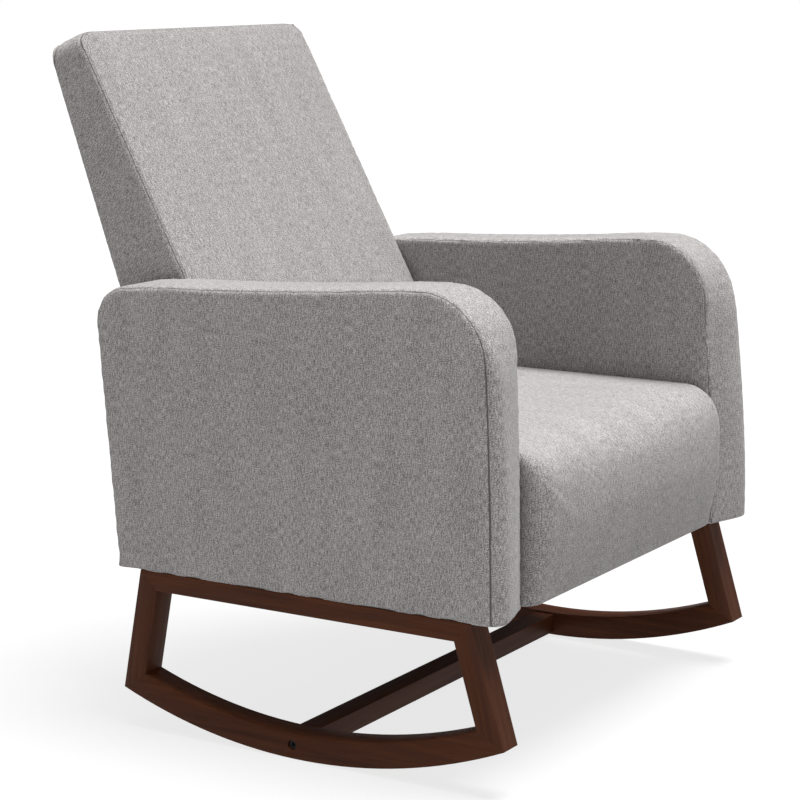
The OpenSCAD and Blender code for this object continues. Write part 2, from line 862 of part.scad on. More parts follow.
module seat_foam() {
    foam_half_w = back_half_w - cover_t;
    color(foam_colour)
        difference() {
            across(-foam_half_w, foam_half_w)
                polygon(seat_outline(cover_t, 0));
            box([-back_half_w, back_half_w],
                [seat_frame_front_y, seat_frame_rear_y], [0, seat_foam_z]);
        }
}

module dust_cover() {
    color(dust_colour)
        box([-back_side_in_x, back_side_in_x],
            [seat_frame_front_y + dust_margin, back_foot_y - dust_margin],
            [dust_z + 1, dust_z + 1 + dust_t]);
}

// Staples driven up through the dust cover into the rails, one row on each rail
module dust_cover_staples() {
    along_x = 2 * floor((seat_rail_in_x - 20) / staple_pitch);
    along_y = 2 * floor((spring_span / 2 - 40) / staple_pitch);
    mid_y = (seat_frame_front_y + seat_frame_rear_y) / 2;
    row_y = spring_span / 2;
    row_x = seat_rail_in_x + seat_rail_t / 4;
    color(steel_colour) {
        for (i = [0 : along_x])
            for (end = ENDS)
                translate([(i - along_x / 2) * staple_pitch, mid_y + end * row_y, 0])
                    staple();
        for (i = [0 : along_y])
            for (side = SIDES)
                translate([side * row_x, mid_y + (i - along_y / 2) * staple_pitch, 0])
                    rotate([0, 0, 90]) staple();
    }
}

module staple() {
    translate([-staple_w / 2, -staple_t / 2, dust_z + 1 - staple_t])
        cube([staple_w, staple_t, staple_t]);
}

// ---- Back ----

back_corners = [
    [back_front_at(back_sole_z), back_sole_z],
    back_top_front,
    back_top_rear,
    [back_bend_y, back_bend_z],
    [back_foot_y, frame_z],
    [seat_frame_rear_y, frame_z],
    [seat_frame_rear_y, back_sole_z]];
back_edges = len(back_corners);
back_len = norm(back_corners[1] - back_corners[0]);
back_spare = 5;
back_skin = inset(back_corners, [for (i = [1 : back_edges]) cover_t]);
// The same with the top raised clear, for bodies that the front view cuts to height
back_tall = inset(back_corners, [0, -back_spare, 0, 0, 0, 0, 0]);
back_tall_skin = inset(back_corners, [cover_t, -back_spare, cover_t, cover_t, cover_t,
    cover_t, cover_t]);
back_bore = inset(back_corners, [-1, -back_spare, -1, -1, -1, -1, -1]);

// Front view of the back, d inside the covers: its width across, and the distance down
// from the plane of its top
function back_face(d) =
    let (w = back_half_w - d, r = back_corner_r - d)
    rounded([[-w, 2 * back_len], [-w, d], [w, d], [w, 2 * back_len]], [0, r, r, 0]);

// Body of the back whose side view is drawn in [y, z], cut to the front view
module back_body(d) {
    top = back_top_rear - back_top_front;
    intersection() {
        across(-base_w, base_w) children();
        translate([0, back_top_front.x, back_top_front.y])
            rotate([atan2(top.y, top.x) - 90, 0, 0])
                linear_extrude(2 * back_len, center = true)
                    polygon(back_face(d));
    }
}

module back_front_cover() {
    color(fabric_colour)
        back_body(cover_t)
            polygon([back_corners[0], back_tall[1], back_tall_skin[1], back_skin[0]]);
}

module back_rear_cover() {
    color(fabric_colour)
        back_body(cover_t)
            polygon([back_tall[2], back_corners[3], back_corners[4],
                back_skin[4], back_skin[3], back_tall_skin[2]]);
}

module back_boxing() {
    color(fabric_colour)
        difference() {
            back_body(0) polygon(back_tall);
            back_body(cover_t) polygon(back_bore);
            for (side = SIDES)
                side_bolt_holes(side, bolt_bore_d, back_side_out_x, arm_in_x + 1);
        }
}

// Foam behind the front cover, from the sole of the back up and over its top
back_top_pad = back_corner_r + 3;
back_foam_inner = inset(back_corners, [back_foam_rear, back_top_pad, cover_t, cover_t,
    cover_t, cover_t, cover_t]);

module back_foam() {
    color(foam_colour)
        back_body(cover_t)
            polygon([back_skin[0], back_tall_skin[1], back_tall_skin[2],
                back_foam_inner[2], back_foam_inner[1], back_foam_inner[0]]);
}

// Plywood side, cut to the back's outline behind the foam and the straps
back_side_outline = inset(back_corners, [back_core, back_top_pad + 1, back_rear_gap,
    back_rear_gap, 4, 0, 4]);

module back_side(side) {
    color(ply_colour)
        difference() {
            on_side(side, back_side_in_x, back_side_out_x) polygon(back_side_outline);
            side_bolt_holes(side, bolt_bore_d, back_side_in_x - 1, back_side_out_x + 1);
        }
}

module back_right_side() back_side(RIGHT);
module back_left_side() back_side(LEFT);

// Board between the sides, flush with their front edges, from s0 to s1 up the slope
module back_cross_rail(s0, s1) {
    up = [sin(back_lean), cos(back_lean)];
    away = right_of(up);
    foot = back_corners[0] + away * back_core;
    color(pine_colour)
        across(-back_side_in_x, back_side_in_x)
            polygon([foot + up * s0, foot + up * s1,
                foot + up * s1 + away * back_rail_t, foot + up * s0 + away * back_rail_t]);
}

back_rail_w = 50;
back_top_margin = back_corner_r + 4;
back_foot_margin = 45;

module back_top_rail() {
    back_cross_rail(back_len - back_top_margin - back_rail_w, back_len - back_top_margin);
}

module back_lower_rail() {
    back_cross_rail(back_foot_margin, back_foot_margin + back_rail_w);
}

// Elastic straps stretched over the front edges of the plywood sides
module back_straps() {
    up = [sin(back_lean), cos(back_lean)];
    away = right_of(up);
    foot = back_corners[0] + away * (back_foam_rear + strap_slack);
    strap_t = back_web_t - 2 * strap_slack;
    first = back_foot_margin;
    last = back_len - back_top_margin - strap_w;
    color(strap_colour)
        for (i = [0 : strap_count - 1]) {
            s = first + (last - first) * i / (strap_count - 1);
            across(-back_side_out_x, back_side_out_x)
                polygon([foot + up * s, foot + up * (s + strap_w),
                    foot + up * (s + strap_w) + away * strap_t,
                    foot + up * s + away * strap_t]);
        }
}

right_rocker();
left_rocker();
right_front_post();
left_front_post();
right_rear_post();
left_rear_post();
right_top_rail();
left_top_rail();
crossbar();
frame_dowels();
crossbar_bolts();
barrel_nuts();
base_bolts();
base_washers();
base_tee_nuts();
seat_front_rail();
seat_rear_rail();
seat_right_rail();
seat_left_rail();
seat_corner_blocks();
seat_springs();
spring_clips();
spring_pad();
seat_foam();
seat_cover();
dust_cover();
dust_cover_staples();
right_arm_outer_cover();
left_arm_outer_cover();
right_arm_inner_cover();
left_arm_inner_cover();
right_arm_boxing();
left_arm_boxing();
right_arm_foam();
left_arm_foam();
right_arm_outer_board();
left_arm_outer_board();
right_arm_inner_board();
left_arm_inner_board();
right_arm_front_post();
left_arm_front_post();
right_arm_rear_post();
left_arm_rear_post();
right_arm_top_plank();
left_arm_top_plank();
right_arm_bottom_plank();
left_arm_bottom_plank();
arm_bolts();
arm_bolt_washers();
arm_insert_nuts();
back_right_side();
back_left_side();
back_top_rail();
back_lower_rail();
back_straps();
back_foam();
back_front_cover();
back_boxing();
back_rear_cover();
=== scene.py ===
import json
import math

import bpy
import numpy as np
from bpy.props import FloatProperty, FloatVectorProperty, IntProperty, PointerProperty
from bpy.types import Operator, Panel, PropertyGroup
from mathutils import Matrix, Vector

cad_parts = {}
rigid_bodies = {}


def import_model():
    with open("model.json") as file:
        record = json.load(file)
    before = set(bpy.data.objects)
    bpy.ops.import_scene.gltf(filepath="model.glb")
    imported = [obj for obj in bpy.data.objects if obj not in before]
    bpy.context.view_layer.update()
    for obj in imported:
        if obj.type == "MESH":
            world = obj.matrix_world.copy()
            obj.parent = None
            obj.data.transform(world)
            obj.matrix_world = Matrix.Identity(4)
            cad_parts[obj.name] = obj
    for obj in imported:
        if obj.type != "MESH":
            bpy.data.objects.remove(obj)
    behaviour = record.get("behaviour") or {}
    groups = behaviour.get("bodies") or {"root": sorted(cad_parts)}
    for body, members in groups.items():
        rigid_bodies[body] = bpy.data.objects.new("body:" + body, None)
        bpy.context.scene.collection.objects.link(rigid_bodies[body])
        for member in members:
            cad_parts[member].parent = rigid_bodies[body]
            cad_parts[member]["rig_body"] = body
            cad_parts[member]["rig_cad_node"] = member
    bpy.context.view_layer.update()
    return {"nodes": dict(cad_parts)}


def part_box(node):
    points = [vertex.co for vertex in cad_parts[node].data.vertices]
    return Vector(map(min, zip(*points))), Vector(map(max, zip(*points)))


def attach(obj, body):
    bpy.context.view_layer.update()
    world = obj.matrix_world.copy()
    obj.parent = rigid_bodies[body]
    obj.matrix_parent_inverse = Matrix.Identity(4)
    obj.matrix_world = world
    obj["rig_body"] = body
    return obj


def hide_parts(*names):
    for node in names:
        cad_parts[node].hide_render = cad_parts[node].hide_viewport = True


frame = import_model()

bl_info = {
    "name": "Upholstered rocking chair",
    "version": (1, 0, 0),
    "blender": (4, 5, 0),
    "location": "3D View > Sidebar > Rocking chair",
    "description": "Upholstery, timber finish and studio for a nursery rocking chair",
    "category": "Add Mesh",
}

SIDES = ("right", "left")
QUARTER = math.pi / 2

# Studio: strengths as the light and the camera meet them, and the camera's place.
SKY_LOW = 0.05
SKY_HIGH = 1.0
SKY_POWER = 3.5
BACKDROP = 1.0
FLOOR_SEEN = 0.78
FLOOR_GLOW = 0.42
SUN_TURN = (8, 9)
SUN_POWER = 4.5
SUN_WIDTH = 30
CAMERA_PLACE = (-2.90166, -1.71122, 1.04994)
CAMERA_TURN = (79.533, 0, -58.479)
CAMERA_LENS = 108

# Fixed sizes of the chair, in metres.
ROCKING_RADIUS = 0.785
ROCKER_HEIGHT = 0.036
POST_DEPTH = 0.035
FELT_SLACK = 0.002
SPRING_WIDTH = 0.042
SPRING_GAPS = 4
STRAP_COUNT = 7
STRAP_WIDTH = 0.050
STRAP_THICKNESS = 0.0016
STRAP_DISH = 0.004
BACK_BEND = (0.339, 0.535)
BACK_FOOT_Y = 0.289
BELOW_SOLE = 0.05
ARM_HUMP_Y = -0.150
ARM_REAR_HUMP_Y = 0.220
ARM_HUMP_REACH = 0.075
ARM_FRONT_Y = -0.2
ARM_REAR_Y = 0.27

# Padding: how the cloth settles, and how its weave and seams are laid on the mesh.
PADDING = {"quality": 4, "mass": 0.3, "tension_stiffness": 12, "compression_stiffness": 12,
           "shear_stiffness": 6, "bending_stiffness": 0.6, "use_pressure": True}
PANEL_HOLD = 0.35
SIDE_FACING = 0.72
SIDE_SHIFT = 3.0
SEAMLESS = 0.05


# ---- sizes and colours

def length(name, description, default):
    """A size in metres that a user may change."""
    return FloatProperty(name=name, description=description, default=default,
                         min=0.0, soft_max=1.0, precision=4, unit="LENGTH")


def colour(name, description, default):
    """A colour that a user may change, linear."""
    return FloatVectorProperty(name=name, description=description, default=default,
                               min=0.0, max=1.0, size=3, subtype="COLOR")


class ChairSizes(PropertyGroup):
    edge_radius: length("Timber edge", "Radius of the timber's long edges", 0.0012)
    arm_front_y: length("Arm front", "Front of the arm at its foot, ahead of the middle", 0.292)
    arm_front_rake: length("Arm front rake", "How far the arm's front leans back", 0.014)
    arm_rear_y: length("Arm rear", "Rear of the arm at its foot", 0.295)
    arm_rear_rake: length("Arm rear rake", "How far the arm's rear leans back", 0.035)
    arm_front_rise: length("Arm front rise", "Height of the arm's front corner", 0.420)
    arm_rear_rise: length("Arm rear rise", "Height of the arm's rear corner", 0.384)
    arm_front_r: length("Arm front radius", "Radius of the arm's front corner", 0.086)
    arm_rear_r: length("Arm rear radius", "Radius of the arm's rear corner", 0.050)
    arm_hump: length("Arm hump", "Rise of the padding on the arm's front half", 0.003)
    arm_top_crown: length("Arm top crown", "Swell of the band on top of the arm", 0.0055)
    arm_front_crown: length("Arm front crown", "Swell of the band at the arm's foot", 0.012)
    arm_front_bulge: length("Arm front bulge", "Push of the outer half of the band", 0.014)
    left_arm_slump: length("Left arm slump", "Fuller padding low on the left arm's front", 0.012)
    arm_rear_hump: length("Arm rear hump", "Rise of the padding on the arm's rear half", 0.0025)
    panel_crown: length("Panel crown", "Swell of the arm's side panels", 0.003)
    hem_drop: length("Hem", "Cloth wrapped under the arm", 0.0012)
    seat_drop: length("Seat edge drop", "How far the seat's edges lie below its crown", 0.006)
    seat_crown: length("Seat crown", "Swell of the seat's top", 0.010)
    seat_nose_r: length("Seat front radius", "Radius over the seat's front edge", 0.052)
    seat_nose_rise: length("Seat nose", "Height of the seat's foremost point", 0.106)
    seat_tuck: length("Seat tuck", "How far the seat's front tucks in at its foot", 0.016)
    seat_side_r: length("Seat side radius", "Radius along the seat's side edges", 0.014)
    seat_front_r: length("Seat front corner", "Rounding of the seat's two front corners", 0.026)
    back_corner_r: length("Back corner radius", "Radius of the back's two top corners", 0.040)
    back_edge_r: length("Back edge radius", "Radius along the back's rear top edge", 0.016)
    back_crown: length("Back crown", "Swell of the front of the back", 0.008)
    back_fullness: length("Back fullness", "Padding behind the back's top rear edge", 0.010)
    back_lean: FloatProperty(name="Back lean", description="Lean of the back from upright",
                             default=math.radians(28.4), subtype="ANGLE")
    seam_depth: length("Seam depth", "How deep a sewn seam sinks into the padding", 0.0024)
    seam_width: length("Seam width", "Reach of a seam's dip on each side", 0.0045)
    stitch_inset: length("Topstitch inset", "Topstitching's distance from the seam", 0.0055)
    stitch_length: length("Stitch length", "Length of one topstitch", 0.004)
    weave_pitch: length("Weave pitch", "Distance between two yarns of the cover", 0.0011)
    pad_voxel: length("Pad mesh", "Mesh size the padding is worked at", 0.0065)
    pad_frames: IntProperty(name="Pad settling", description="Steps that the padding settles for",
                            default=20, min=2, max=40)


class ChairColours(PropertyGroup):
    cloth_light: colour("Light yarn", "Lightest yarn of the cover", (0.64, 0.622, 0.612))
    cloth_mid: colour("Middle yarn", "Main yarn of the cover", (0.355, 0.343, 0.336))
    cloth_dark: colour("Dark yarn", "Darkest yarn of the cover", (0.145, 0.137, 0.133))
    thread: colour("Thread", "Sewing thread and the shade in a seam", (0.10, 0.095, 0.09))
    stain_light: colour("Stain, thin", "Timber stain where it is thin", (0.104, 0.031, 0.0105))
    stain_dark: colour("Stain, thick", "Timber stain in the grain", (0.036, 0.0100, 0.0040))
    floor: colour("Floor", "Studio floor", (0.16, 0.16, 0.16))


# ---- modelling helpers

def mode(name):
    """Goes to this mode."""
    bpy.ops.object.mode_set(mode=name)


def deselect():
    """Nothing selected, in object mode."""
    if bpy.context.object and bpy.context.object.mode != "OBJECT":
        mode("OBJECT")
    bpy.ops.object.select_all(action="DESELECT")


def only(obj):
    """Makes obj the one selected and active object."""
    deselect()
    obj.select_set(True)
    bpy.context.view_layer.objects.active = obj
    return obj


def named(name):
    """Names the object that was just added."""
    obj = bpy.context.object
    obj.name = name
    obj.data.name = name
    return obj


def settle(obj):
    """Puts the object's place, turn and scale into its mesh."""
    only(obj)
    bpy.ops.object.transform_apply(location=True, rotation=True, scale=True)
    return obj


def modifier(obj, kind, **settings):
    """Adds a modifier, sets it up and applies it."""
    only(obj)
    made = obj.modifiers.new(kind.title(), kind)
    for key, value in settings.items():
        setattr(made, key, value)
    bpy.ops.object.modifier_apply(modifier=made.name)
    return obj


def edit_all(obj):
    """Goes to edit mode with the whole mesh selected."""
    only(obj)
    mode("EDIT")
    bpy.ops.mesh.select_all(action="SELECT")


def soften_edges(obj, test, radius, segments=2):
    """Rounds the edges that pass test(start, end)."""
    only(obj)
    mode("EDIT")
    bpy.ops.mesh.select_mode(type="EDGE")
    bpy.ops.mesh.select_all(action="DESELECT")
    mode("OBJECT")
    points = [v.co for v in obj.data.vertices]
    for edge in obj.data.edges:
        edge.select = test(points[edge.vertices[0]], points[edge.vertices[1]])
    mode("EDIT")
    bpy.ops.mesh.bevel(offset=radius, segments=segments, affect="EDGES", clamp_overlap=True)
    mode("OBJECT")
    return obj


def outward(obj):
    """Turns every face of a closed piece outwards."""
    edit_all(obj)
    bpy.ops.mesh.remove_doubles(threshold=0.00001)
    bpy.ops.mesh.normals_make_consistent(inside=False)
    mode("OBJECT")
    return obj


def smooth(obj, angle=30):
    """Shades smooth across edges that turn by less than the angle, in degrees."""
    only(obj)
    bpy.ops.object.shade_smooth_by_angle(angle=math.radians(angle))
    return obj


def slab(name, outline, x0, x1):
    """A side-view outline, drawn as (y, z), extruded across from x0 to x1."""
    deselect()
    bpy.ops.mesh.primitive_circle_add(vertices=len(outline), fill_type="NGON")
    obj = settle(named(name))
    for vertex, (y, z) in zip(obj.data.vertices, outline):
        vertex.co = (x0, y, z)
    edit_all(obj)
    bpy.ops.mesh.extrude_region_move(TRANSFORM_OT_translate={"value": (x1 - x0, 0, 0)})
    mode("OBJECT")
    return outward(obj)


def grid(name, cuts, size, place, turn=(0, 0, 0)):
    """A flat grid with its (x, y) cuts and size, put in its place."""
    deselect()
    bpy.ops.mesh.primitive_grid_add(x_subdivisions=cuts[0], y_subdivisions=cuts[1], size=1,
                                    location=place)
    obj = named(name)
    obj.scale = (*size, 1)
    obj.rotation_euler = turn
    return settle(obj)


def copy_of(obj, name):
    """A copy with its own mesh."""
    only(obj)
    bpy.ops.object.duplicate(linked=False)
    return named(name)


def mirrored(obj, name):
    """The other hand of a piece, across the chair's middle."""
    other = copy_of(obj, name)
    other.scale.x = -1
    settle(other)
    edit_all(other)
    bpy.ops.mesh.normals_make_consistent(inside=False)
    mode("OBJECT")
    return other


def rounded(corners, radii, steps=9):
    """The corners of a closed outline, with an arc of its own radius at each."""
    points = []
    count = len(corners)
    for i, radius in enumerate(radii):
        here = Vector(corners[i])
        if radius <= 0:
            points.append(here)
            continue
        before = (Vector(corners[i - 1]) - here).normalized()
        after = (Vector(corners[(i + 1) % count]) - here).normalized()
        half = before.angle(after) / 2
        centre = here + (before + after).normalized() * radius / math.sin(half)
        start = here + before * radius / math.tan(half) - centre
        end = here + after * radius / math.tan(half) - centre
        sweep = start.angle(end)
        for k in range(steps + 1):
            share = k / steps
            points.append(centre + (start * math.sin((1 - share) * sweep)
                                    + end * math.sin(share * sweep)) / math.sin(sweep))
    return points


def finer(points, step):
    """The same closed outline with a point at least every step."""
    result = []
    for here, after in zip(points, points[1:] + points[:1]):
        parts = max(1, round((after - here).length / step))
        result += [here.lerp(after, k / parts) for k in range(parts)]
    return result


def ride_as(obj, slot, *nodes):
    """Rides on the chair and stands for the CAD nodes, which it hides. The slot argument is not
    used.
    """
    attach(obj, "root")
    if nodes:
        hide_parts(*nodes)
    return obj


# ---- shader helpers

class Shader:
    """A new material, or a world, and short ways to add nodes to it."""

    def __init__(self, name, world=None):
        self.material = world or bpy.data.materials.new(name)
        self.material.use_nodes = True
        self.tree = self.material.node_tree
        self.surface = self.tree.nodes["Background" if world else "Principled BSDF"]

    def put(self, socket, value):
        if isinstance(value, bpy.types.NodeSocket):
            self.tree.links.new(value, socket)
        elif isinstance(socket.default_value, float) or not hasattr(value, "__len__"):
            socket.default_value = value
        else:
            wanted = len(socket.default_value)
            socket.default_value = (tuple(value) + (1.0,))[:wanted]

    def finish(self, **inputs):
        """Sets or links the surface's inputs, _ standing for a space in their names."""
        for key, value in inputs.items():
            self.put(self.surface.inputs[key.replace("_", " ")], value)
        return self.material

    def node(self, kind, inputs=(), **settings):
        made = self.tree.nodes.new(kind)
        for key, value in settings.items():
            setattr(made, key, value)
        for key, value in dict(inputs).items():
            self.put(made.inputs[key], value)
        return made

    def math(self, operation, a, b=0.0, c=0.0):
        made = self.node("ShaderNodeMath", {0: a, 1: b, 2: c}, operation=operation)
        return made.outputs[0]

    def place(self):
        return self.node("ShaderNodeTexCoord").outputs["Object"]

    def stretch(self, vector, scale, turn=(0, 0, 0)):
        made = self.node("ShaderNodeMapping", {"Vector": vector, "Scale": scale, "Rotation": turn})
        return made.outputs[0]

    def noise(self, vector, scale=1.0, detail=2.0, roughness=0.5, distortion=0.0):
        made = self.node("ShaderNodeTexNoise", {
            "Vector": vector, "Scale": scale, "Detail": detail,
            "Roughness": roughness, "Distortion": distortion})
        return made.outputs["Fac"]

    def ramp(self, factor, stops):
        """A smooth ramp through (place, colour) stops."""
        made = self.node("ShaderNodeValToRGB", {"Fac": factor})
        elements = made.color_ramp.elements
        while len(elements) < len(stops):
            elements.new(0.5)
        for element, (position, rgb) in zip(elements, stops):
            element.position = position
            element.color = tuple(rgb) + (1.0,)
        return made.outputs["Color"]

    def spread(self, value, low, high, to_low=0.0, to_high=1.0):
        made = self.node("ShaderNodeMapRange", {
            "Value": value, "From Min": low, "From Max": high,
            "To Min": to_low, "To Max": to_high})
        return made.outputs[0]

    def blend(self, factor, a, b, mode="MIX"):
        made = self.node("ShaderNodeMix", data_type="RGBA", blend_type=mode)
        self.put(made.inputs[0], factor)
        self.put(made.inputs[6], a)
        self.put(made.inputs[7], b)
        return made.outputs[2]

    def bump(self, height, distance, strength=1.0, normal=None):
        made = self.node("ShaderNodeBump", {
            "Height": height, "Distance": distance, "Strength": strength})
        if normal is not None:
            self.put(made.inputs["Normal"], normal)
        return made.outputs[0]


def paint(obj, material):
    """Gives obj this one material."""
    obj.data.materials.clear()
    obj.data.materials.append(material)
    for face in obj.data.polygons:
        face.material_index = 0
    return obj


def cover_cloth(colours, sizes):
    """Heathered plain weave: slubbed light and dark yarns both ways, with the topstitching drawn in
    and painted shade drawn along the seams.
    """
    s = Shader("heathered_linen_weave")
    uv = s.node("ShaderNodeUVMap", uv_map="cloth").outputs[0]
    parts = s.node("ShaderNodeSeparateXYZ", {0: uv})
    across, along = parts.outputs[0], parts.outputs[1]
    warp = s.noise(s.stretch(uv, (700, 105, 1)), 1.0, 2.0, 0.55)
    weft = s.noise(s.stretch(uv, (150, 800, 1)), 1.0, 2.0, 0.55)
    speck = s.noise(s.stretch(uv, (760, 700, 1)), 1.0, 2.0, 0.65)
    cloud = s.noise(s.stretch(uv, (30, 7, 1)), 1.0, 2.0)
    mottle = s.math("MULTIPLY_ADD", warp, 0.30, s.math(
        "MULTIPLY_ADD", weft, 0.10, s.math("MULTIPLY", speck, 0.60)))
    mottle = s.math("MULTIPLY_ADD", s.math("SUBTRACT", cloud, 0.5), 0.05, mottle)
    yarn = s.ramp(mottle, [(0.42, colours.cloth_dark), (0.50, colours.cloth_mid),
                           (0.59, colours.cloth_light)])
    tint = s.noise(s.stretch(uv, (420, 300, 1), (0, 0, 0.4)), 1.0, 1.0)
    hue = s.ramp(tint, [(0.36, (1.05, 0.98, 0.985)), (0.64, (0.97, 1.0, 1.01))])
    yarn = s.blend(0.7, yarn, hue, "MULTIPLY")
    pitch = math.pi / sizes.weave_pitch
    warp_wave = s.math("SINE", s.math("MULTIPLY", across, pitch))
    weft_wave = s.math("SINE", s.math("MULTIPLY", along, pitch))
    over = s.math("MULTIPLY", warp_wave, weft_wave)
    weave = s.math("MULTIPLY_ADD", over, 0.5, 0.5)
    yarn = s.blend(s.math("MULTIPLY", weave, 0.16), yarn, colours.thread)
    # Painted shade: along each seam the yarn is darkened towards the thread colour, standing in for
    # the shade that falls in the sunk seam.
    seam = s.node("ShaderNodeAttribute", attribute_name="seam").outputs["Fac"]
    gap = s.spread(s.math("ABSOLUTE", seam), 0.0006, 0.0017, 0.95, 0.0)
    yarn = s.blend(gap, yarn, colours.thread)
    stitch = s.node("ShaderNodeAttribute", attribute_name="stitch").outputs["Fac"]
    run = s.node("ShaderNodeAttribute", attribute_name="run").outputs["Fac"]
    thread_wave = s.math("SINE", s.math("MULTIPLY", run, 2 * math.pi / sizes.stitch_length))
    dash = s.spread(thread_wave, -0.9, -0.5, 0.4, 1.0)
    row = s.math("MULTIPLY", dash, s.spread(
        s.math("ABSOLUTE", stitch), 0.0003, 0.0011, 0.42, 0.0))
    yarn = s.blend(row, yarn, colours.thread)
    height = s.math("MULTIPLY_ADD", weave, 0.35, s.math("MULTIPLY", mottle, 1.1))
    height = s.math("SUBTRACT", height, s.math("MULTIPLY", row, 1.2))
    return s.finish(Base_Color=yarn, Normal=s.bump(height, 0.0006, 0.55), Roughness=0.92,
                    Specular_IOR_Level=0.25, Sheen_Weight=0.18, Sheen_Roughness=0.45)


def stained_timber(name, colours, turn):
    """Espresso stain over straight grain; turn lays the grain along the member."""
    s = Shader(name)
    place = s.stretch(s.place(), (1, 1, 1), turn)
    grain = s.noise(s.stretch(place, (150, 5, 150)), 1.0, 4.0, 0.6, 0.4)
    pores = s.noise(s.stretch(place, (900, 28, 900)), 1.0, 2.0, 0.6)
    cloud = s.noise(s.stretch(place, (11, 3.5, 11)), 1.0, 2.0)
    tone = s.math("MULTIPLY_ADD", grain, 0.62, s.math("MULTIPLY", cloud, 0.38))
    stain = s.ramp(tone, [(0.28, colours.stain_dark), (0.72, colours.stain_light)])
    pore = s.spread(pores, 0.30, 0.42, 0.55, 0.0)
    stain = s.blend(pore, stain, colours.stain_dark)
    relief = s.bump(s.math("MULTIPLY_ADD", pores, 0.5, grain), 0.0004, 0.25)
    return s.finish(Base_Color=stain, Roughness=s.spread(grain, 0.3, 0.7, 0.46, 0.36),
                    Normal=relief, Specular_IOR_Level=0.14)


def raw_timber(name, light, dark, scale, turn=(0, 0, 0)):
    """Unfinished timber or board with its grain."""
    s = Shader(name)
    place = s.stretch(s.place(), (1, 1, 1), turn)
    rings = s.noise(s.stretch(place, (scale, scale * 0.04, scale)), 1.0, 3.0, 0.55, 0.8)
    fibre = s.noise(s.stretch(place, (scale * 9, scale * 0.4, scale * 9)), 1.0, 2.0)
    tone = s.math("MULTIPLY_ADD", rings, 0.75, s.math("MULTIPLY", fibre, 0.25))
    return s.finish(Base_Color=s.ramp(tone, [(0.35, dark), (0.62, light)]),
                    Normal=s.bump(fibre, 0.0004, 0.3), Roughness=0.75)


def felted(name, light, dark, grain):
    """A matted or pressed fibre, such as felt, non-woven cloth or hardboard."""
    s = Shader(name)
    fibre = s.noise(s.stretch(s.place(), (grain, grain, grain)), 1.0, 4.0, 0.7, 1.2)
    blotch = s.noise(s.stretch(s.place(), (grain / 12,) * 3), 1.0, 2.0)
    tone = s.math("MULTIPLY_ADD", fibre, 0.7, s.math("MULTIPLY", blotch, 0.3))
    return s.finish(Base_Color=s.ramp(tone, [(0.35, dark), (0.65, light)]),
                    Normal=s.bump(fibre, 0.0005, 0.5), Roughness=0.95)


def webbing_cloth():
    """Ribbed elastic webbing, its ribs along the strap."""
    s = Shader("ribbed_elastic_webbing")
    place = s.place()
    parts = s.node("ShaderNodeSeparateXYZ", {0: place})
    rib = s.math("SINE", s.math("MULTIPLY", parts.outputs[2], 2600))
    pick = s.math("SINE", s.math("MULTIPLY", parts.outputs[0], 4200))
    ridge = s.math("MULTIPLY_ADD", pick, 0.3, rib)
    fluff = s.noise(place, 1400, 2.0)
    tone = s.math("MULTIPLY_ADD", ridge, 0.18, fluff)
    colour_of = s.ramp(tone, [(0.25, (0.012, 0.012, 0.014)), (0.75, (0.075, 0.075, 0.080))])
    return s.finish(Base_Color=colour_of, Normal=s.bump(ridge, 0.0005, 0.6), Roughness=0.8)


def metal(name, base, roughness, metallic, wear):
    """Plated or painted steel with fine handling marks."""
    s = Shader(name)
    marks = s.noise(s.stretch(s.place(), (700, 700, 180)), 1.0, 3.0, 0.6)
    patch = s.noise(s.place(), 60, 2.0)
    light = [min(1.0, c * 1.35 + 0.01) for c in base]
    polish = s.spread(marks, 0.3, 0.7, roughness - wear, roughness + wear)
    return s.finish(Base_Color=s.ramp(patch, [(0.35, base), (0.7, light)]), Roughness=polish,
                    Normal=s.bump(marks, 0.0001, 0.3), Metallic=metallic)


# ---- padding

def near_outline(outline, points, closed=True):
    """For each (y, z) point: its distance to the outline and how far along the nearest place is."""
    line = np.array([tuple(p) for p in outline])
    ends = np.roll(line, -1, axis=0) if closed else line[1:]
    starts = line if closed else line[:-1]
    edges = ends - starts
    lengths = np.linalg.norm(edges, axis=1)
    reach = np.concatenate([[0.0], np.cumsum(lengths)[:-1]])
    best = np.full(len(points), np.inf)
    along = np.zeros(len(points))
    for start, edge, size, offset in zip(starts, edges, lengths, reach):
        if size < 1e-9:
            continue
        share = np.clip(((points - start) @ edge) / size ** 2, 0, 1)
        gap = np.linalg.norm(points - start - share[:, None] * edge, axis=1)
        closer = gap < best
        best[closer] = gap[closer]
        along[closer] = offset + share[closer] * size
    return best, along


def read(items, key, width=1, kind=np.float64):
    """One value, or one row of values, from each item of a mesh."""
    flat = np.empty(len(items) * width, kind)
    items.foreach_get(key, flat)
    return flat.reshape(-1, width) if width > 1 else flat


def vertex_array(obj):
    """The mesh's points, one row each."""
    return read(obj.data.vertices, "co", 3)


def normal_array(obj):
    """The mesh's outward directions at its points."""
    return read(obj.data.vertex_normals, "vector", 3)


def set_vertices(obj, points):
    """Moves the mesh's points."""
    obj.data.vertices.foreach_set("co", np.ascontiguousarray(points).ravel())
    obj.data.update()


def remesh(obj, voxel):
    """Even mesh that the cloth can settle on."""
    only(obj)
    obj.data.remesh_voxel_size = voxel
    obj.data.remesh_voxel_adaptivity = 0
    bpy.ops.object.voxel_remesh()
    return obj


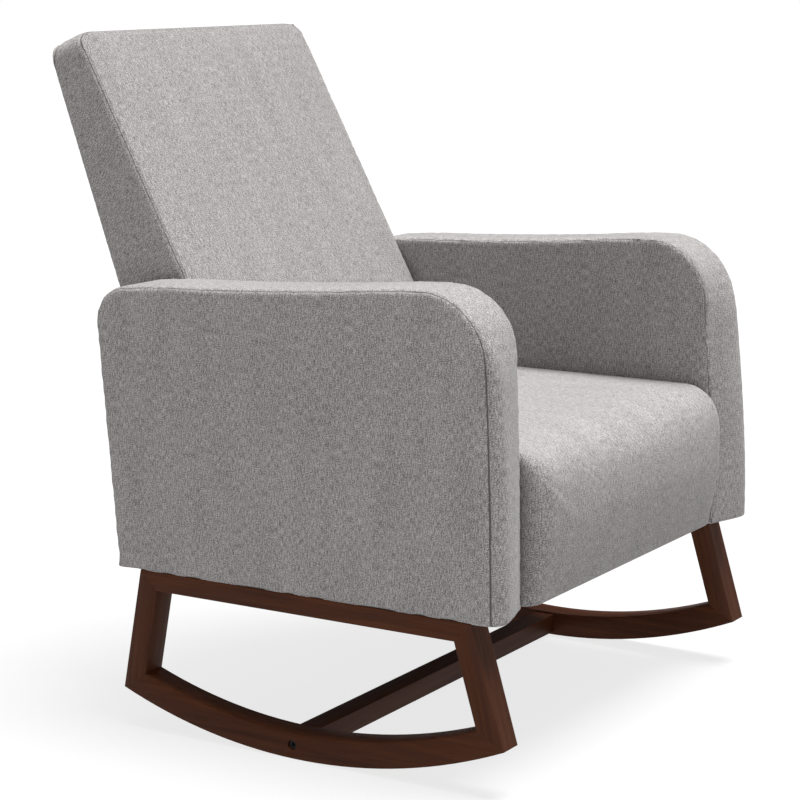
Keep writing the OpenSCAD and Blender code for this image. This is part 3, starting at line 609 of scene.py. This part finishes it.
def puff(obj, hold, cap, pressure, frames):
    """Swells the pad by cloth under pressure. hold(points) is 1 where the cloth is fastened and
    0 where it is free; cap(points) is how far it may swell, and the swell eases off near it."""
    rest = vertex_array(obj)
    group = obj.vertex_groups.new(name="fastened")
    held = hold(rest)
    for level in np.unique(np.round(held, 1)):
        if level > 0:
            members = np.nonzero(np.round(held, 1) == level)[0].tolist()
            group.add(members, float(level), "REPLACE")
    cloth = obj.modifiers.new("Padding", "CLOTH")
    cloth.settings.vertex_group_mass = group.name
    for key, value in PADDING.items():
        setattr(cloth.settings, key, value)
    cloth.settings.uniform_pressure_force = pressure
    cloth.settings.effector_weights.gravity = 0
    cloth.collision_settings.use_collision = False
    cloth.point_cache.frame_start = 1
    cloth.point_cache.frame_end = frames
    scene = bpy.context.scene
    for step in range(1, frames + 1):
        scene.frame_set(step)
    only(obj)
    bpy.ops.object.modifier_apply(modifier=cloth.name)
    scene.frame_set(1)
    moved = vertex_array(obj) - rest
    size = np.linalg.norm(moved, axis=1)
    limit = np.maximum(cap(rest), 1e-5)
    eased = limit * np.tanh(size / limit)
    set_vertices(obj, rest + moved * (eased / np.maximum(size, 1e-9))[:, None])
    obj.vertex_groups.clear()
    return obj


def step_up(low, high, values):
    """0 below low, 1 above high, smooth between."""
    share = np.clip((values - low) / (high - low), 0, 1)
    return share * share * (3 - 2 * share)


def attribute(obj, name, values):
    """Stores one number per point, for the shader or to be read back."""
    made = obj.data.attributes.get(name) or obj.data.attributes.new(name, "FLOAT", "POINT")
    made.data.foreach_set("value", np.asarray(values, np.float32))


def read_attribute(obj, name):
    """Reads back one stored number per point."""
    return read(obj.data.attributes[name].data, "value", 1, np.float32).astype(float)


def lay_cloth(obj, outline, turn=0.0):
    """Lays the weave on the pad in metres: across and along the outline, or flat on its sides."""
    mesh = obj.data
    points = vertex_array(obj)
    _, along = near_outline(outline, points[:, 1:])
    cos, sin = math.cos(turn), math.sin(turn)
    side_u = points[:, 1] * cos - points[:, 2] * sin
    side_v = points[:, 1] * sin + points[:, 2] * cos
    loops = read(mesh.loops, "vertex_index", 1, np.int32)
    counts = read(mesh.polygons, "loop_total", 1, np.int32)
    normals = read(mesh.polygons, "normal", 3)
    flat_side = np.repeat(np.abs(normals[:, 0]) > SIDE_FACING, counts)
    u = np.where(flat_side, side_u[loops] + SIDE_SHIFT, points[loops, 0])
    v = np.where(flat_side, side_v[loops], along[loops])
    layer = mesh.uv_layers.new(name="cloth")
    layer.data.foreach_set("uv", np.stack([u, v], axis=1).astype(np.float32).ravel())


def sink_seam(obj, signed, depth, width):
    """Draws the cloth in along a seam, where signed distance is nought."""
    points = vertex_array(obj)
    dip = depth * np.exp(-(signed / width) ** 2)
    set_vertices(obj, points - normal_array(obj) * dip[:, None])


def refine(obj):
    """One finer level, as the cloth's own smoothness."""
    modifier(obj, "SUBSURF", levels=1, render_levels=1)
    only(obj)
    bpy.ops.object.shade_smooth()
    return obj


def arm_outline(sizes, inset=0.0):
    """The arm's seam in side view, as (y, z), from the front foot over the top to the rear foot."""
    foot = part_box("right_arm_outer_cover")[0].z
    corners = [
        (-sizes.arm_front_y + inset, foot - sizes.hem_drop),
        (-sizes.arm_front_y + sizes.arm_front_rake + inset, foot + sizes.arm_front_rise),
        (sizes.arm_rear_y + sizes.arm_rear_rake - inset, foot + sizes.arm_rear_rise),
        (sizes.arm_rear_y - inset, foot - sizes.hem_drop)]
    points = finer(rounded(corners, [0, sizes.arm_front_r, sizes.arm_rear_r, 0]), 0.02)
    for point in points:
        if point[1] > foot + sizes.arm_rear_rise - 0.04:
            for hump, centre in ((sizes.arm_hump, ARM_HUMP_Y),
                                 (sizes.arm_rear_hump, ARM_REAR_HUMP_Y)):
                point[1] += hump * math.exp(-((point[0] - centre) / ARM_HUMP_REACH) ** 2)
        rise = (point[1] - foot) / sizes.arm_front_rise
        if point[0] < -0.25 and 0 < rise < 1:
            point[0] -= 0.003 * math.sin(math.pi * rise)
    return points


def make_arm(sizes):
    """Right arm: two side panels and one band sewn between them, padded."""
    cover_low, cover_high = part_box("right_arm_outer_cover")
    out_x = cover_low.x + sizes.panel_crown
    in_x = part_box("right_arm_inner_cover")[1].x - sizes.panel_crown * 0.6
    outline = arm_outline(sizes)
    foot = cover_low.z
    top = cover_high.z
    arm = remesh(slab("right_arm_pad", outline, out_x, in_x), sizes.pad_voxel)
    open_line = [p for p in outline if p[1] > foot - sizes.hem_drop - 1e-6]

    def measure(points):
        """Distances to the nearer side plane and to the outline."""
        side = np.minimum(points[:, 0] - out_x, in_x - points[:, 0])
        edge, along = near_outline(open_line, points[:, 1:], closed=False)
        return np.maximum(side, 0), edge, along

    def hold(points):
        side, edge, _ = measure(points)
        seam = np.hypot(side, edge)
        held = 1 - step_up(0.003, 0.009, seam)
        panel = np.where(edge >= side, PANEL_HOLD, 0.0)
        hem = 1 - step_up(0.004, 0.014, points[:, 2] - foot)
        return np.maximum.reduce([held, panel, hem])

    def cap(points):
        side, edge, _ = measure(points)
        rise = np.clip((points[:, 2] - foot) / (top - foot), 0, 1)
        front = points[:, 1] < ARM_FRONT_Y
        rear = points[:, 1] > ARM_REAR_Y
        band = np.where(front, sizes.arm_front_crown
                        + (sizes.arm_top_crown - sizes.arm_front_crown) * rise ** 1.5,
                        sizes.arm_top_crown)
        band = np.where(rear, sizes.arm_top_crown, band)
        return np.where(edge < side, band, sizes.panel_crown)

    side, edge, along = measure(vertex_array(arm))
    attribute(arm, "seam", side - edge)
    attribute(arm, "run", along)
    puff(arm, hold, cap, 5.0, sizes.pad_frames)
    refine(arm)
    points = vertex_array(arm)
    signed = read_attribute(arm, "seam")
    along = read_attribute(arm, "run")
    near_foot = step_up(foot - 0.001, foot + 0.012, points[:, 2])
    sink_seam(arm, signed, sizes.seam_depth * near_foot, sizes.seam_width)
    wave = 0.0003 * np.sin(along * 290) + 0.0003 * np.sin(along * 171 + points[:, 0] * 40)
    pucker = wave * np.exp(-np.abs(signed) / 0.014) * near_foot
    share = np.clip((points[:, 0] - out_x) / (in_x - out_x), 0, 1)
    skew = 12.5 * share * np.exp(-4.0 * share) * (1 - share) ** 0.5
    height = np.clip((points[:, 2] - foot) / (top - foot), 0, 1)
    forward = (1 - step_up(-0.27, -0.22, points[:, 1])) * (1 - 0.45 * height ** 2)
    forward *= 1 - step_up(0.72, 0.98, height)
    hem = 0.0010 * np.sin(points[:, 1] * 95 + 2 * np.sin(points[:, 1] * 31))
    points = vertex_array(arm) + normal_array(arm) * pucker[:, None]
    points[:, 1] -= sizes.arm_front_bulge * skew * forward
    points[:, 1] += 0.005 * step_up(0.55, 1.0, share) * forward
    over_foot = points[:, 2] - foot
    points[:, 2] += hem * (1 - step_up(0.0, 0.020, over_foot)) * (points[:, 2] < foot + 0.03)
    set_vertices(arm, points)
    attribute(arm, "seam", np.where(points[:, 2] > foot, signed, SEAMLESS))
    attribute(arm, "stitch", np.full(len(points), SEAMLESS))
    lay_cloth(arm, outline)
    return arm


class CHAIR_OT_arm_pads(Operator):
    """Padded arms: side panels and a band sewn round them"""
    bl_idname = "chair.arm_pads"
    bl_label = "Arm pads"

    def execute(self, context):
        sizes = context.scene.chair_sizes
        arm = make_arm(sizes)
        paint(arm, bpy.data.materials["heathered_linen_weave"])
        other = mirrored(arm, "left_arm_pad")
        points = vertex_array(other)
        foot, top = points[:, 2].min(), points[:, 2].max()
        low_down = 1 - step_up(0.10, 0.95, (points[:, 2] - foot) / (top - foot))
        ahead = 1 - step_up(-0.29, ARM_FRONT_Y, points[:, 1])
        points[:, 1] -= sizes.left_arm_slump * low_down * ahead
        set_vertices(other, points)
        for piece, side in ((arm, "right"), (other, "left")):
            ride_as(piece, "cover_fabric", f"{side}_arm_outer_cover", f"{side}_arm_inner_cover",
                    f"{side}_arm_boxing", f"{side}_arm_foam")
        return {"FINISHED"}


class CHAIR_OT_seat_pad(Operator):
    """Sprung seat: one piece of cloth over the top and down the front"""
    bl_idname = "chair.seat_pad"
    bl_label = "Seat pad"

    def execute(self, context):
        sizes = context.scene.chair_sizes
        low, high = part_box("seat_cover")
        half = high.x - 0.0005
        top = high.z - sizes.seat_drop
        front = low.y + 0.001
        slope = math.tan(sizes.back_lean)
        back_low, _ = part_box("back_front_cover")
        sole_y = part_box("back_boxing")[0].y - 0.001
        rear_top = sole_y + slope * (top - back_low.z)
        corners = [(front + sizes.seat_tuck, low.z), (front, low.z + sizes.seat_nose_rise),
                   (front + 0.003, top), (rear_top, top), (sole_y, back_low.z), (sole_y, low.z)]
        outline = finer(rounded(corners, [0.006, 0.10, sizes.seat_nose_r, 0, 0, 0]), 0.02)
        seat = slab("seat_pad", outline, -half, half)

        def side_edge(a, b):
            same_side = abs(abs(a.x) - half) < 1e-5 and abs(a.x - b.x) < 1e-5
            return same_side and min(a.z, b.z) > low.z + 0.012 and max(a.y, b.y) < sole_y + 0.05

        soften_edges(seat, side_edge, sizes.seat_side_r, 4)
        remesh(seat, sizes.pad_voxel)
        line = [p for p in outline if p[1] > low.z + 0.004]

        def hold(points):
            side = half - np.abs(points[:, 0])
            held_side = 1 - step_up(0.001, 0.012, side)
            foot = 1 - step_up(0.004, 0.020, points[:, 2] - low.z)
            rear = step_up(-0.020, -0.004, points[:, 1]
                           - (sole_y + slope * (points[:, 2] - back_low.z)))
            return np.maximum.reduce([held_side, foot, rear])

        def cap(points):
            on_top = step_up(0.05, 0.11, points[:, 1] - front)
            return 0.006 + (sizes.seat_crown - 0.006) * on_top

        puff(seat, hold, cap, 4.0, sizes.pad_frames)
        refine(seat)
        points = vertex_array(seat)
        into = np.clip(np.abs(points[:, 0]) - (half - sizes.seat_front_r), 0, sizes.seat_front_r)
        setback = sizes.seat_front_r - np.sqrt(sizes.seat_front_r ** 2 - into ** 2)
        points[:, 1] += setback * (1 - step_up(0.015, 0.085, points[:, 1] - front))
        set_vertices(seat, points)
        for name in ("seam", "stitch", "run"):
            attribute(seat, name, np.full(len(points), SEAMLESS))
        lay_cloth(seat, outline)
        paint(seat, bpy.data.materials["heathered_linen_weave"])
        ride_as(seat, "cover_fabric", "seat_cover", "seat_foam")
        return {"FINISHED"}


class CHAIR_OT_back_pad(Operator):
    """Raked back: front panel, a band round its edge and a rear panel"""
    bl_idname = "chair.back_pad"
    bl_label = "Back pad"

    def execute(self, context):
        sizes = context.scene.chair_sizes
        box_low, box_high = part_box("back_boxing")
        seat_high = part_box("seat_rear_rail")[1]
        slope = math.tan(sizes.back_lean)
        half = box_high.x - 0.002
        sole_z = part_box("back_front_cover")[0].z
        foot_z = box_low.z
        top_front = (box_low.y + slope * (box_high.z - sole_z), box_high.z)
        rear_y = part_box("back_rear_cover")[1].y + sizes.back_fullness
        rear_top = (rear_y, top_front[1] - 0.75 * (rear_y - top_front[0]) * slope)
        corners = [(box_low.y, sole_z), top_front, rear_top, BACK_BEND, (BACK_FOOT_Y, foot_z),
                   (seat_high.y + 0.001, foot_z), (seat_high.y + 0.001, sole_z)]
        outline = finer(rounded(corners, [0, 0, 0, 0.08, 0, 0, 0]), 0.03)
        back = slab("back_pad", outline, -half, half)

        def top_corner(a, b):
            across = abs(a.x - b.x) < 1e-5 and abs(abs(a.x) - half) < 1e-5
            return across and min(a.z, b.z) > rear_top[1] - 0.001 and (a - b).length > 0.02

        rear_down = Vector(BACK_BEND) - Vector(rear_top)
        rear_out = np.array([-rear_down.y, rear_down.x]) / rear_down.length

        def rear_rim(a, b):
            gaps = [abs(np.array([p.y, p.z]) @ rear_out - np.array(rear_top) @ rear_out)
                    for p in (a, b)]
            return max(gaps) < 1e-4 and min(a.z, b.z) > rear_top[1] - sizes.back_corner_r

        lean = sizes.back_lean
        up = np.array([math.sin(lean), math.cos(lean)])
        away = np.array([math.cos(lean), -math.sin(lean)])
        origin = np.array([box_low.y, sole_z])
        tall = float((np.array(top_front) - origin) @ up)
        radius = sizes.back_corner_r
        soften_edges(back, top_corner, radius, 8)
        soften_edges(back, rear_rim, sizes.back_edge_r, 4)
        remesh(back, sizes.pad_voxel)
        foot = -BELOW_SOLE
        frame_line = rounded([(-half, foot), (-half, tall), (half, tall), (half, foot)],
                             [0, radius, radius, 0], 8)

        def measure(points):
            """Depth behind the front face, distance in from the edge, depth ahead of the rear
            face, and how far round the edge the nearest place is."""
            flat = points[:, 1:] - origin
            depth = flat @ away
            rise = flat @ up
            edge, run = near_outline(frame_line, np.stack([points[:, 0], rise], axis=1),
                                     closed=False)
            behind = (np.array(rear_top) - points[:, 1:]) @ rear_out
            return depth, edge, behind, run

        hidden_z = seat_high.z + 0.11

        def hold(points):
            depth, edge, behind, _ = measure(points)
            seam = np.hypot(np.maximum(depth, 0), edge)
            rear = np.hypot(np.maximum(behind, 0), edge)
            near = 1 - step_up(0.003, 0.009, np.minimum(seam, rear))
            low = 1 - step_up(hidden_z, hidden_z + 0.03, points[:, 2])
            flat = np.where(depth > edge, PANEL_HOLD, 0.0)
            return np.maximum.reduce([near, low, flat])

        def cap(points):
            depth, edge, _, _ = measure(points)
            front = (depth < edge) & (depth < 0.02)
            over = (points[:, 1:] - origin) @ up > tall - 0.01
            return np.where(front, sizes.back_crown, np.where(over, 0.004, 0.0018))

        depth, edge, behind, run = measure(vertex_array(back))
        depth, behind = np.maximum(depth, 0), np.maximum(behind, 0)
        at_rear = behind < np.minimum(depth, edge)
        at_front = depth < np.minimum(behind, edge)
        attribute(back, "seam", np.where(at_rear, SEAMLESS, depth - edge))
        attribute(back, "rear_seam", np.where(at_front, SEAMLESS, behind - edge))
        attribute(back, "run", run)
        puff(back, hold, cap, 4.5, sizes.pad_frames)
        refine(back)
        points = vertex_array(back)
        signed = read_attribute(back, "seam")
        rear_signed = read_attribute(back, "rear_seam")
        above = step_up(hidden_z - 0.02, hidden_z + 0.01, points[:, 2])
        sink_seam(back, signed, sizes.seam_depth * above, sizes.seam_width)
        sink_seam(back, rear_signed, sizes.seam_depth * 0.7 * above, sizes.seam_width)
        nearest = np.where(np.abs(signed) < np.abs(rear_signed), signed, rear_signed)
        attribute(back, "seam", nearest)
        attribute(back, "stitch", signed + sizes.stitch_inset)
        lay_cloth(back, outline, -lean)
        paint(back, bpy.data.materials["heathered_linen_weave"])
        ride_as(back, "cover_fabric", "back_front_cover", "back_boxing", "back_rear_cover",
                "back_foam")
        return {"FINISHED"}


# ---- timber and fixings

TIMBER = [f"{side}_{part}" for side in SIDES
          for part in ("rocker", "front_post", "rear_post", "top_rail")] + ["crossbar"]


class CHAIR_OT_timber_frame(Operator):
    """Two closed rocker frames and their crossbar, with eased edges and stain"""
    bl_idname = "chair.timber_frame"
    bl_label = "Timber frame"

    def execute(self, context):
        sizes = context.scene.chair_sizes
        colours = context.scene.chair_colours
        front_low, front_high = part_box("right_front_post")
        rear_low, rear_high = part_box("right_rear_post")
        lean_front = math.atan2(front_high.y - front_low.y - POST_DEPTH,
                                front_high.z - front_low.z)
        lean_rear = math.atan2(rear_high.y - rear_low.y - POST_DEPTH, rear_high.z - rear_low.z)
        turns = {"rocker": (0, 0, 0), "top_rail": (0, 0, 0),
                 "front_post": (-QUARTER + lean_front, 0, 0),
                 "rear_post": (-QUARTER - lean_rear, 0, 0), "crossbar": (0, 0, QUARTER)}
        finishes = {part: stained_timber(f"espresso_stain_{part}", colours, turn)
                    for part, turn in turns.items()}
        centre = Vector((0.0, 0.0, ROCKING_RADIUS))
        for node in TIMBER:
            part = node.split("_", 1)[1] if node != "crossbar" else node
            piece = copy_of(frame["nodes"][node], f"{node}_timber")
            piece.parent = None
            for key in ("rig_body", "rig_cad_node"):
                if key in piece:
                    del piece[key]
            edit_all(piece)
            bpy.ops.mesh.remove_doubles(threshold=0.00002)
            bpy.ops.mesh.dissolve_limited(angle_limit=math.radians(0.4))
            mode("OBJECT")
            low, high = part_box(node)

            def long_edge(a, b):
                at_side = abs(a.x - b.x) < 1e-5 and min(abs(a.x - low.x), abs(a.x - high.x)) < 1e-5
                if node == "crossbar":
                    return abs(a.x - b.x) > 0.5
                if part == "rocker":
                    middle = (a + b) / 2 - centre
                    middle.x = 0
                    tangent = abs((b - a).normalized().dot(middle.normalized()))
                    inside = centre.z - middle.length
                    rim = min(abs(inside), abs(inside - ROCKER_HEIGHT)) < 0.002
                    return at_side and tangent < 0.05 and rim
                return at_side and (a - b).length > 0.06

            soften_edges(piece, long_edge, sizes.edge_radius)
            smooth(piece)
            paint(piece, finishes[part])
            ride_as(piece, "stained_wood", node)
        return {"FINISHED"}


def finish_nodes(groups):
    """Paints carried-over CAD nodes, given as {material: names}."""
    for material, names in groups.items():
        for name in names:
            paint(frame["nodes"][name], material)


class CHAIR_OT_fixings(Operator):
    """Finish for the bolts, nuts, washers, dowels and clips"""
    bl_idname = "chair.fixings"
    bl_label = "Fixings"

    def execute(self, context):
        black = metal("black_oxide_steel", (0.010, 0.010, 0.011), 0.50, 0.3, 0.08)
        zinc = metal("zinc_plated_steel", (0.55, 0.56, 0.57), 0.32, 1.0, 0.08)
        spring = metal("drawn_spring_wire", (0.23, 0.23, 0.24), 0.38, 1.0, 0.10)
        beech = raw_timber("beech_dowel", (0.70, 0.52, 0.34), (0.52, 0.36, 0.21), 300)
        finish_nodes({
            black: ("crossbar_bolts", "base_bolts", "arm_bolts"),
            zinc: ("barrel_nuts", "base_washers", "base_tee_nuts", "arm_bolt_washers",
                   "arm_insert_nuts", "spring_clips", "dust_cover_staples"),
            spring: ("seat_springs",),
            beech: ("frame_dowels",)})
        return {"FINISHED"}


class CHAIR_OT_inner_timber(Operator):
    """Finish for the softwood, plywood and hardboard inside the padding"""
    bl_idname = "chair.inner_timber"
    bl_label = "Inner timber"

    def execute(self, context):
        light, dark = (0.68, 0.47, 0.27), (0.46, 0.28, 0.13)
        lengthways = raw_timber("pine_lengthways", light, dark, 90)
        crossways = raw_timber("pine_crossways", light, dark, 90, (0, 0, QUARTER))
        upright = raw_timber("pine_upright", light, dark, 90, (QUARTER, 0, 0))
        ply = raw_timber("birch_plywood", (0.66, 0.50, 0.33), (0.50, 0.35, 0.20), 60,
                         (QUARTER, 0, 0))
        board = felted("pressed_hardboard", (0.24, 0.15, 0.085), (0.13, 0.078, 0.042), 900)
        for side in SIDES:
            finish_nodes({
                upright: (f"{side}_arm_front_post", f"{side}_arm_rear_post"),
                lengthways: (f"{side}_arm_top_plank", f"{side}_arm_bottom_plank",
                             f"seat_{side}_rail"),
                board: (f"{side}_arm_outer_board", f"{side}_arm_inner_board"),
                ply: (f"back_{side}_side",)})
        finish_nodes({crossways: ("seat_front_rail", "seat_rear_rail", "seat_corner_blocks",
                                  "back_top_rail", "back_lower_rail")})
        return {"FINISHED"}


class CHAIR_OT_webbing(Operator):
    """Elastic straps across the back, each dished a little under load"""
    bl_idname = "chair.webbing"
    bl_label = "Back webbing"

    def execute(self, context):
        sizes = context.scene.chair_sizes
        low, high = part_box("back_straps")
        lean = sizes.back_lean
        up = Vector((0, math.sin(lean), math.cos(lean)))
        first = Vector((0, low.y, low.z + STRAP_THICKNESS)) + up * STRAP_WIDTH / 2
        rise = (high.z - low.z - STRAP_THICKNESS) / up.z - STRAP_WIDTH
        straps = []
        for i in range(STRAP_COUNT):
            place = first + up * rise * i / (STRAP_COUNT - 1)
            place += Vector((0, STRAP_THICKNESS / 2, 0))
            straps.append(grid(f"strap_{i}", (40, 6), (high.x - low.x, STRAP_WIDTH), place,
                               (QUARTER - lean, 0, 0)))
        deselect()
        for strap in straps:
            strap.select_set(True)
        bpy.context.view_layer.objects.active = straps[0]
        bpy.ops.object.join()
        webbing = named("back_webbing")
        points = vertex_array(webbing)
        half = (high.x - low.x) / 2
        dish = STRAP_DISH * (1 - (points[:, 0] / half) ** 2)
        points[:, 1] += dish * math.cos(lean)
        points[:, 2] -= dish * math.sin(lean)
        set_vertices(webbing, points)
        modifier(webbing, "SOLIDIFY", thickness=STRAP_THICKNESS, offset=0)
        paint(webbing, webbing_cloth())
        smooth(webbing, 40)
        ride_as(webbing, "elastic_webbing", "back_straps")
        return {"FINISHED"}


class CHAIR_OT_spring_felt(Operator):
    """Felt between the springs and the foam, dimpled over each spring"""
    bl_idname = "chair.spring_felt"
    bl_label = "Spring felt"

    def execute(self, context):
        low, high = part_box("spring_pad")
        felt = grid("spring_felt", (90, 70), (high.x - low.x - FELT_SLACK,
                                              high.y - low.y - FELT_SLACK), (low + high) / 2)
        points = vertex_array(felt)
        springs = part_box("seat_springs")
        pitch = (springs[1].x - springs[0].x - SPRING_WIDTH) / SPRING_GAPS
        ridge = 0.0007 * np.cos(points[:, 0] / pitch * 2 * math.pi)
        ripple = 0.0003 * np.sin(points[:, 1] * 60 + np.sin(points[:, 0] * 23))
        points[:, 2] += ridge + ripple
        set_vertices(felt, points)
        modifier(felt, "SOLIDIFY", thickness=high.z - low.z - FELT_SLACK, offset=0)
        paint(felt, felted("needled_felt", (0.30, 0.30, 0.28), (0.13, 0.13, 0.12), 700))
        smooth(felt, 50)
        ride_as(felt, "felt", "spring_pad")
        return {"FINISHED"}


class CHAIR_OT_dust_cover(Operator):
    """Thin black cloth stapled under the seat, sagging a little between its edges"""
    bl_idname = "chair.dust_cover"
    bl_label = "Dust cover"

    def execute(self, context):
        low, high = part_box("dust_cover")
        size = high - low
        sheet = grid("dust_cover_cloth", (96, 96), (size.x, size.y), (low + high) / 2)
        points = vertex_array(sheet)
        u = (points[:, 0] - low.x) / size.x
        v = (points[:, 1] - low.y) / size.y
        sag = np.clip(16 * u * (1 - u) * v * (1 - v), 0, 1) ** 0.8
        edge = np.minimum.reduce([u, 1 - u, v, 1 - v])
        crease = 0.0007 * np.sin(u * 61 + 3 * np.sin(v * 9)) * np.exp(-edge / 0.10)
        crease += 0.0006 * np.sin(v * 53 + 2 * np.sin(u * 7)) * np.exp(-edge / 0.10)
        points[:, 2] -= 0.003 * sag + crease * step_up(0.0, 0.03, edge)
        set_vertices(sheet, points)
        modifier(sheet, "SOLIDIFY", thickness=0.0006, offset=0)
        paint(sheet, felted("black_non_woven", (0.035, 0.035, 0.038), (0.012, 0.012, 0.013), 1300))
        smooth(sheet, 60)
        ride_as(sheet, "dust_cloth", "dust_cover")
        return {"FINISHED"}


# ---- studio

def area_light(name, size, power, place, target):
    """A square soft light at place, turned to target."""
    deselect()
    bpy.ops.object.light_add(type="AREA", location=place)
    lamp = bpy.context.object
    lamp.name = name
    lamp.data.shape = "SQUARE"
    lamp.data.size = size
    lamp.data.energy = power
    lamp.rotation_euler = (Vector(target) - Vector(place)).to_track_quat("-Z", "Y").to_euler()
    return lamp


def soft_sky(world):
    """A sky bright overhead and dim near the floor, seen by the camera as a plain backdrop."""
    s = Shader("sky", world)
    toward = s.node("ShaderNodeTexCoord").outputs["Generated"]
    rise = s.node("ShaderNodeSeparateXYZ", {0: toward}).outputs[2]
    glow = s.spread(s.math("POWER", rise, SKY_POWER), 0.0, 1.0, SKY_LOW, SKY_HIGH)
    seen = s.node("ShaderNodeLightPath").outputs["Is Camera Ray"]
    mixed = s.node("ShaderNodeMix", {"Factor": seen, "A": glow, "B": BACKDROP})
    s.finish(Color=(1.0, 1.0, 1.0), Strength=mixed.outputs["Result"])


class CHAIR_OT_studio(Operator):
    """Plain floor, soft lights and the camera"""
    bl_idname = "chair.studio"
    bl_label = "Studio"

    def execute(self, context):
        colours = context.scene.chair_colours
        scene = context.scene
        deselect()
        bpy.ops.mesh.primitive_plane_add(size=60, location=(0, 0, -0.0005))
        floor = named("studio_floor")
        s = Shader("pale_floor")
        grain = s.noise(s.place(), 3.0, 3.0)
        tone = s.ramp(grain, [(0.3, colours.floor), (0.7, [c * 0.99 for c in colours.floor])])
        seen = s.node("ShaderNodeLightPath").outputs["Is Camera Ray"]
        glow = s.spread(seen, 0.0, 1.0, FLOOR_GLOW, FLOOR_SEEN)
        paint(floor, s.finish(Base_Color=tone, Roughness=0.8, Specular_IOR_Level=0.0,
                              Emission_Color=(1.0, 1.0, 1.0), Emission_Strength=glow))
        world = bpy.data.worlds.new("studio")
        scene.world = world
        soft_sky(world)
        deselect()
        bpy.ops.object.light_add(type="SUN", location=(0, 0, 3),
                                 rotation=(*map(math.radians, SUN_TURN), 0))
        overhead = bpy.context.object
        overhead.name = "overhead_softbox"
        overhead.data.energy = SUN_POWER
        overhead.data.angle = math.radians(SUN_WIDTH)
        area_light("side_fill", 1.6, 20, (-3.2, -0.6, 0.55), (0, 0, 0.35))
        area_light("front_fill", 1.2, 9, (1.0, -3.2, 0.3), (0, 0, 0.2))
        deselect()
        bpy.ops.object.camera_add(location=CAMERA_PLACE)
        camera = bpy.context.object
        camera.rotation_euler = tuple(map(math.radians, CAMERA_TURN))
        camera.data.lens = CAMERA_LENS
        camera.data.sensor_width = 36
        camera.data.clip_end = 200
        scene.camera = camera
        scene.view_settings.view_transform = "Standard"
        return {"FINISHED"}


# ---- panel and registration

class CHAIR_PT_sidebar(Panel):
    """Sizes, colours and the steps that dress the chair"""
    bl_idname = "CHAIR_PT_sidebar"
    bl_label = "Rocking chair"
    bl_space_type = "VIEW_3D"
    bl_region_type = "UI"
    bl_category = "Rocking chair"

    def draw(self, context):
        layout = self.layout
        for group in (context.scene.chair_sizes, context.scene.chair_colours):
            box = layout.box()
            for key in group.__annotations__:
                box.prop(group, key)
        for step in STEPS:
            layout.operator(step.bl_idname)


STEPS = (CHAIR_OT_timber_frame, CHAIR_OT_fixings, CHAIR_OT_inner_timber, CHAIR_OT_webbing,
         CHAIR_OT_spring_felt, CHAIR_OT_dust_cover, CHAIR_OT_arm_pads, CHAIR_OT_seat_pad,
         CHAIR_OT_back_pad, CHAIR_OT_studio)
CLASSES = (ChairSizes, ChairColours, *STEPS, CHAIR_PT_sidebar)


def register():
    for item in CLASSES:
        bpy.utils.register_class(item)
    bpy.types.Scene.chair_sizes = PointerProperty(type=ChairSizes)
    bpy.types.Scene.chair_colours = PointerProperty(type=ChairColours)


def unregister():
    del bpy.types.Scene.chair_colours
    del bpy.types.Scene.chair_sizes
    for item in reversed(CLASSES):
        bpy.utils.unregister_class(item)


def main():
    register()
    scene = bpy.context.scene
    cover_cloth(scene.chair_colours, scene.chair_sizes)
    for step in STEPS:
        getattr(bpy.ops.chair, step.bl_idname.split(".")[1])()


if __name__ == "__main__":
    main()
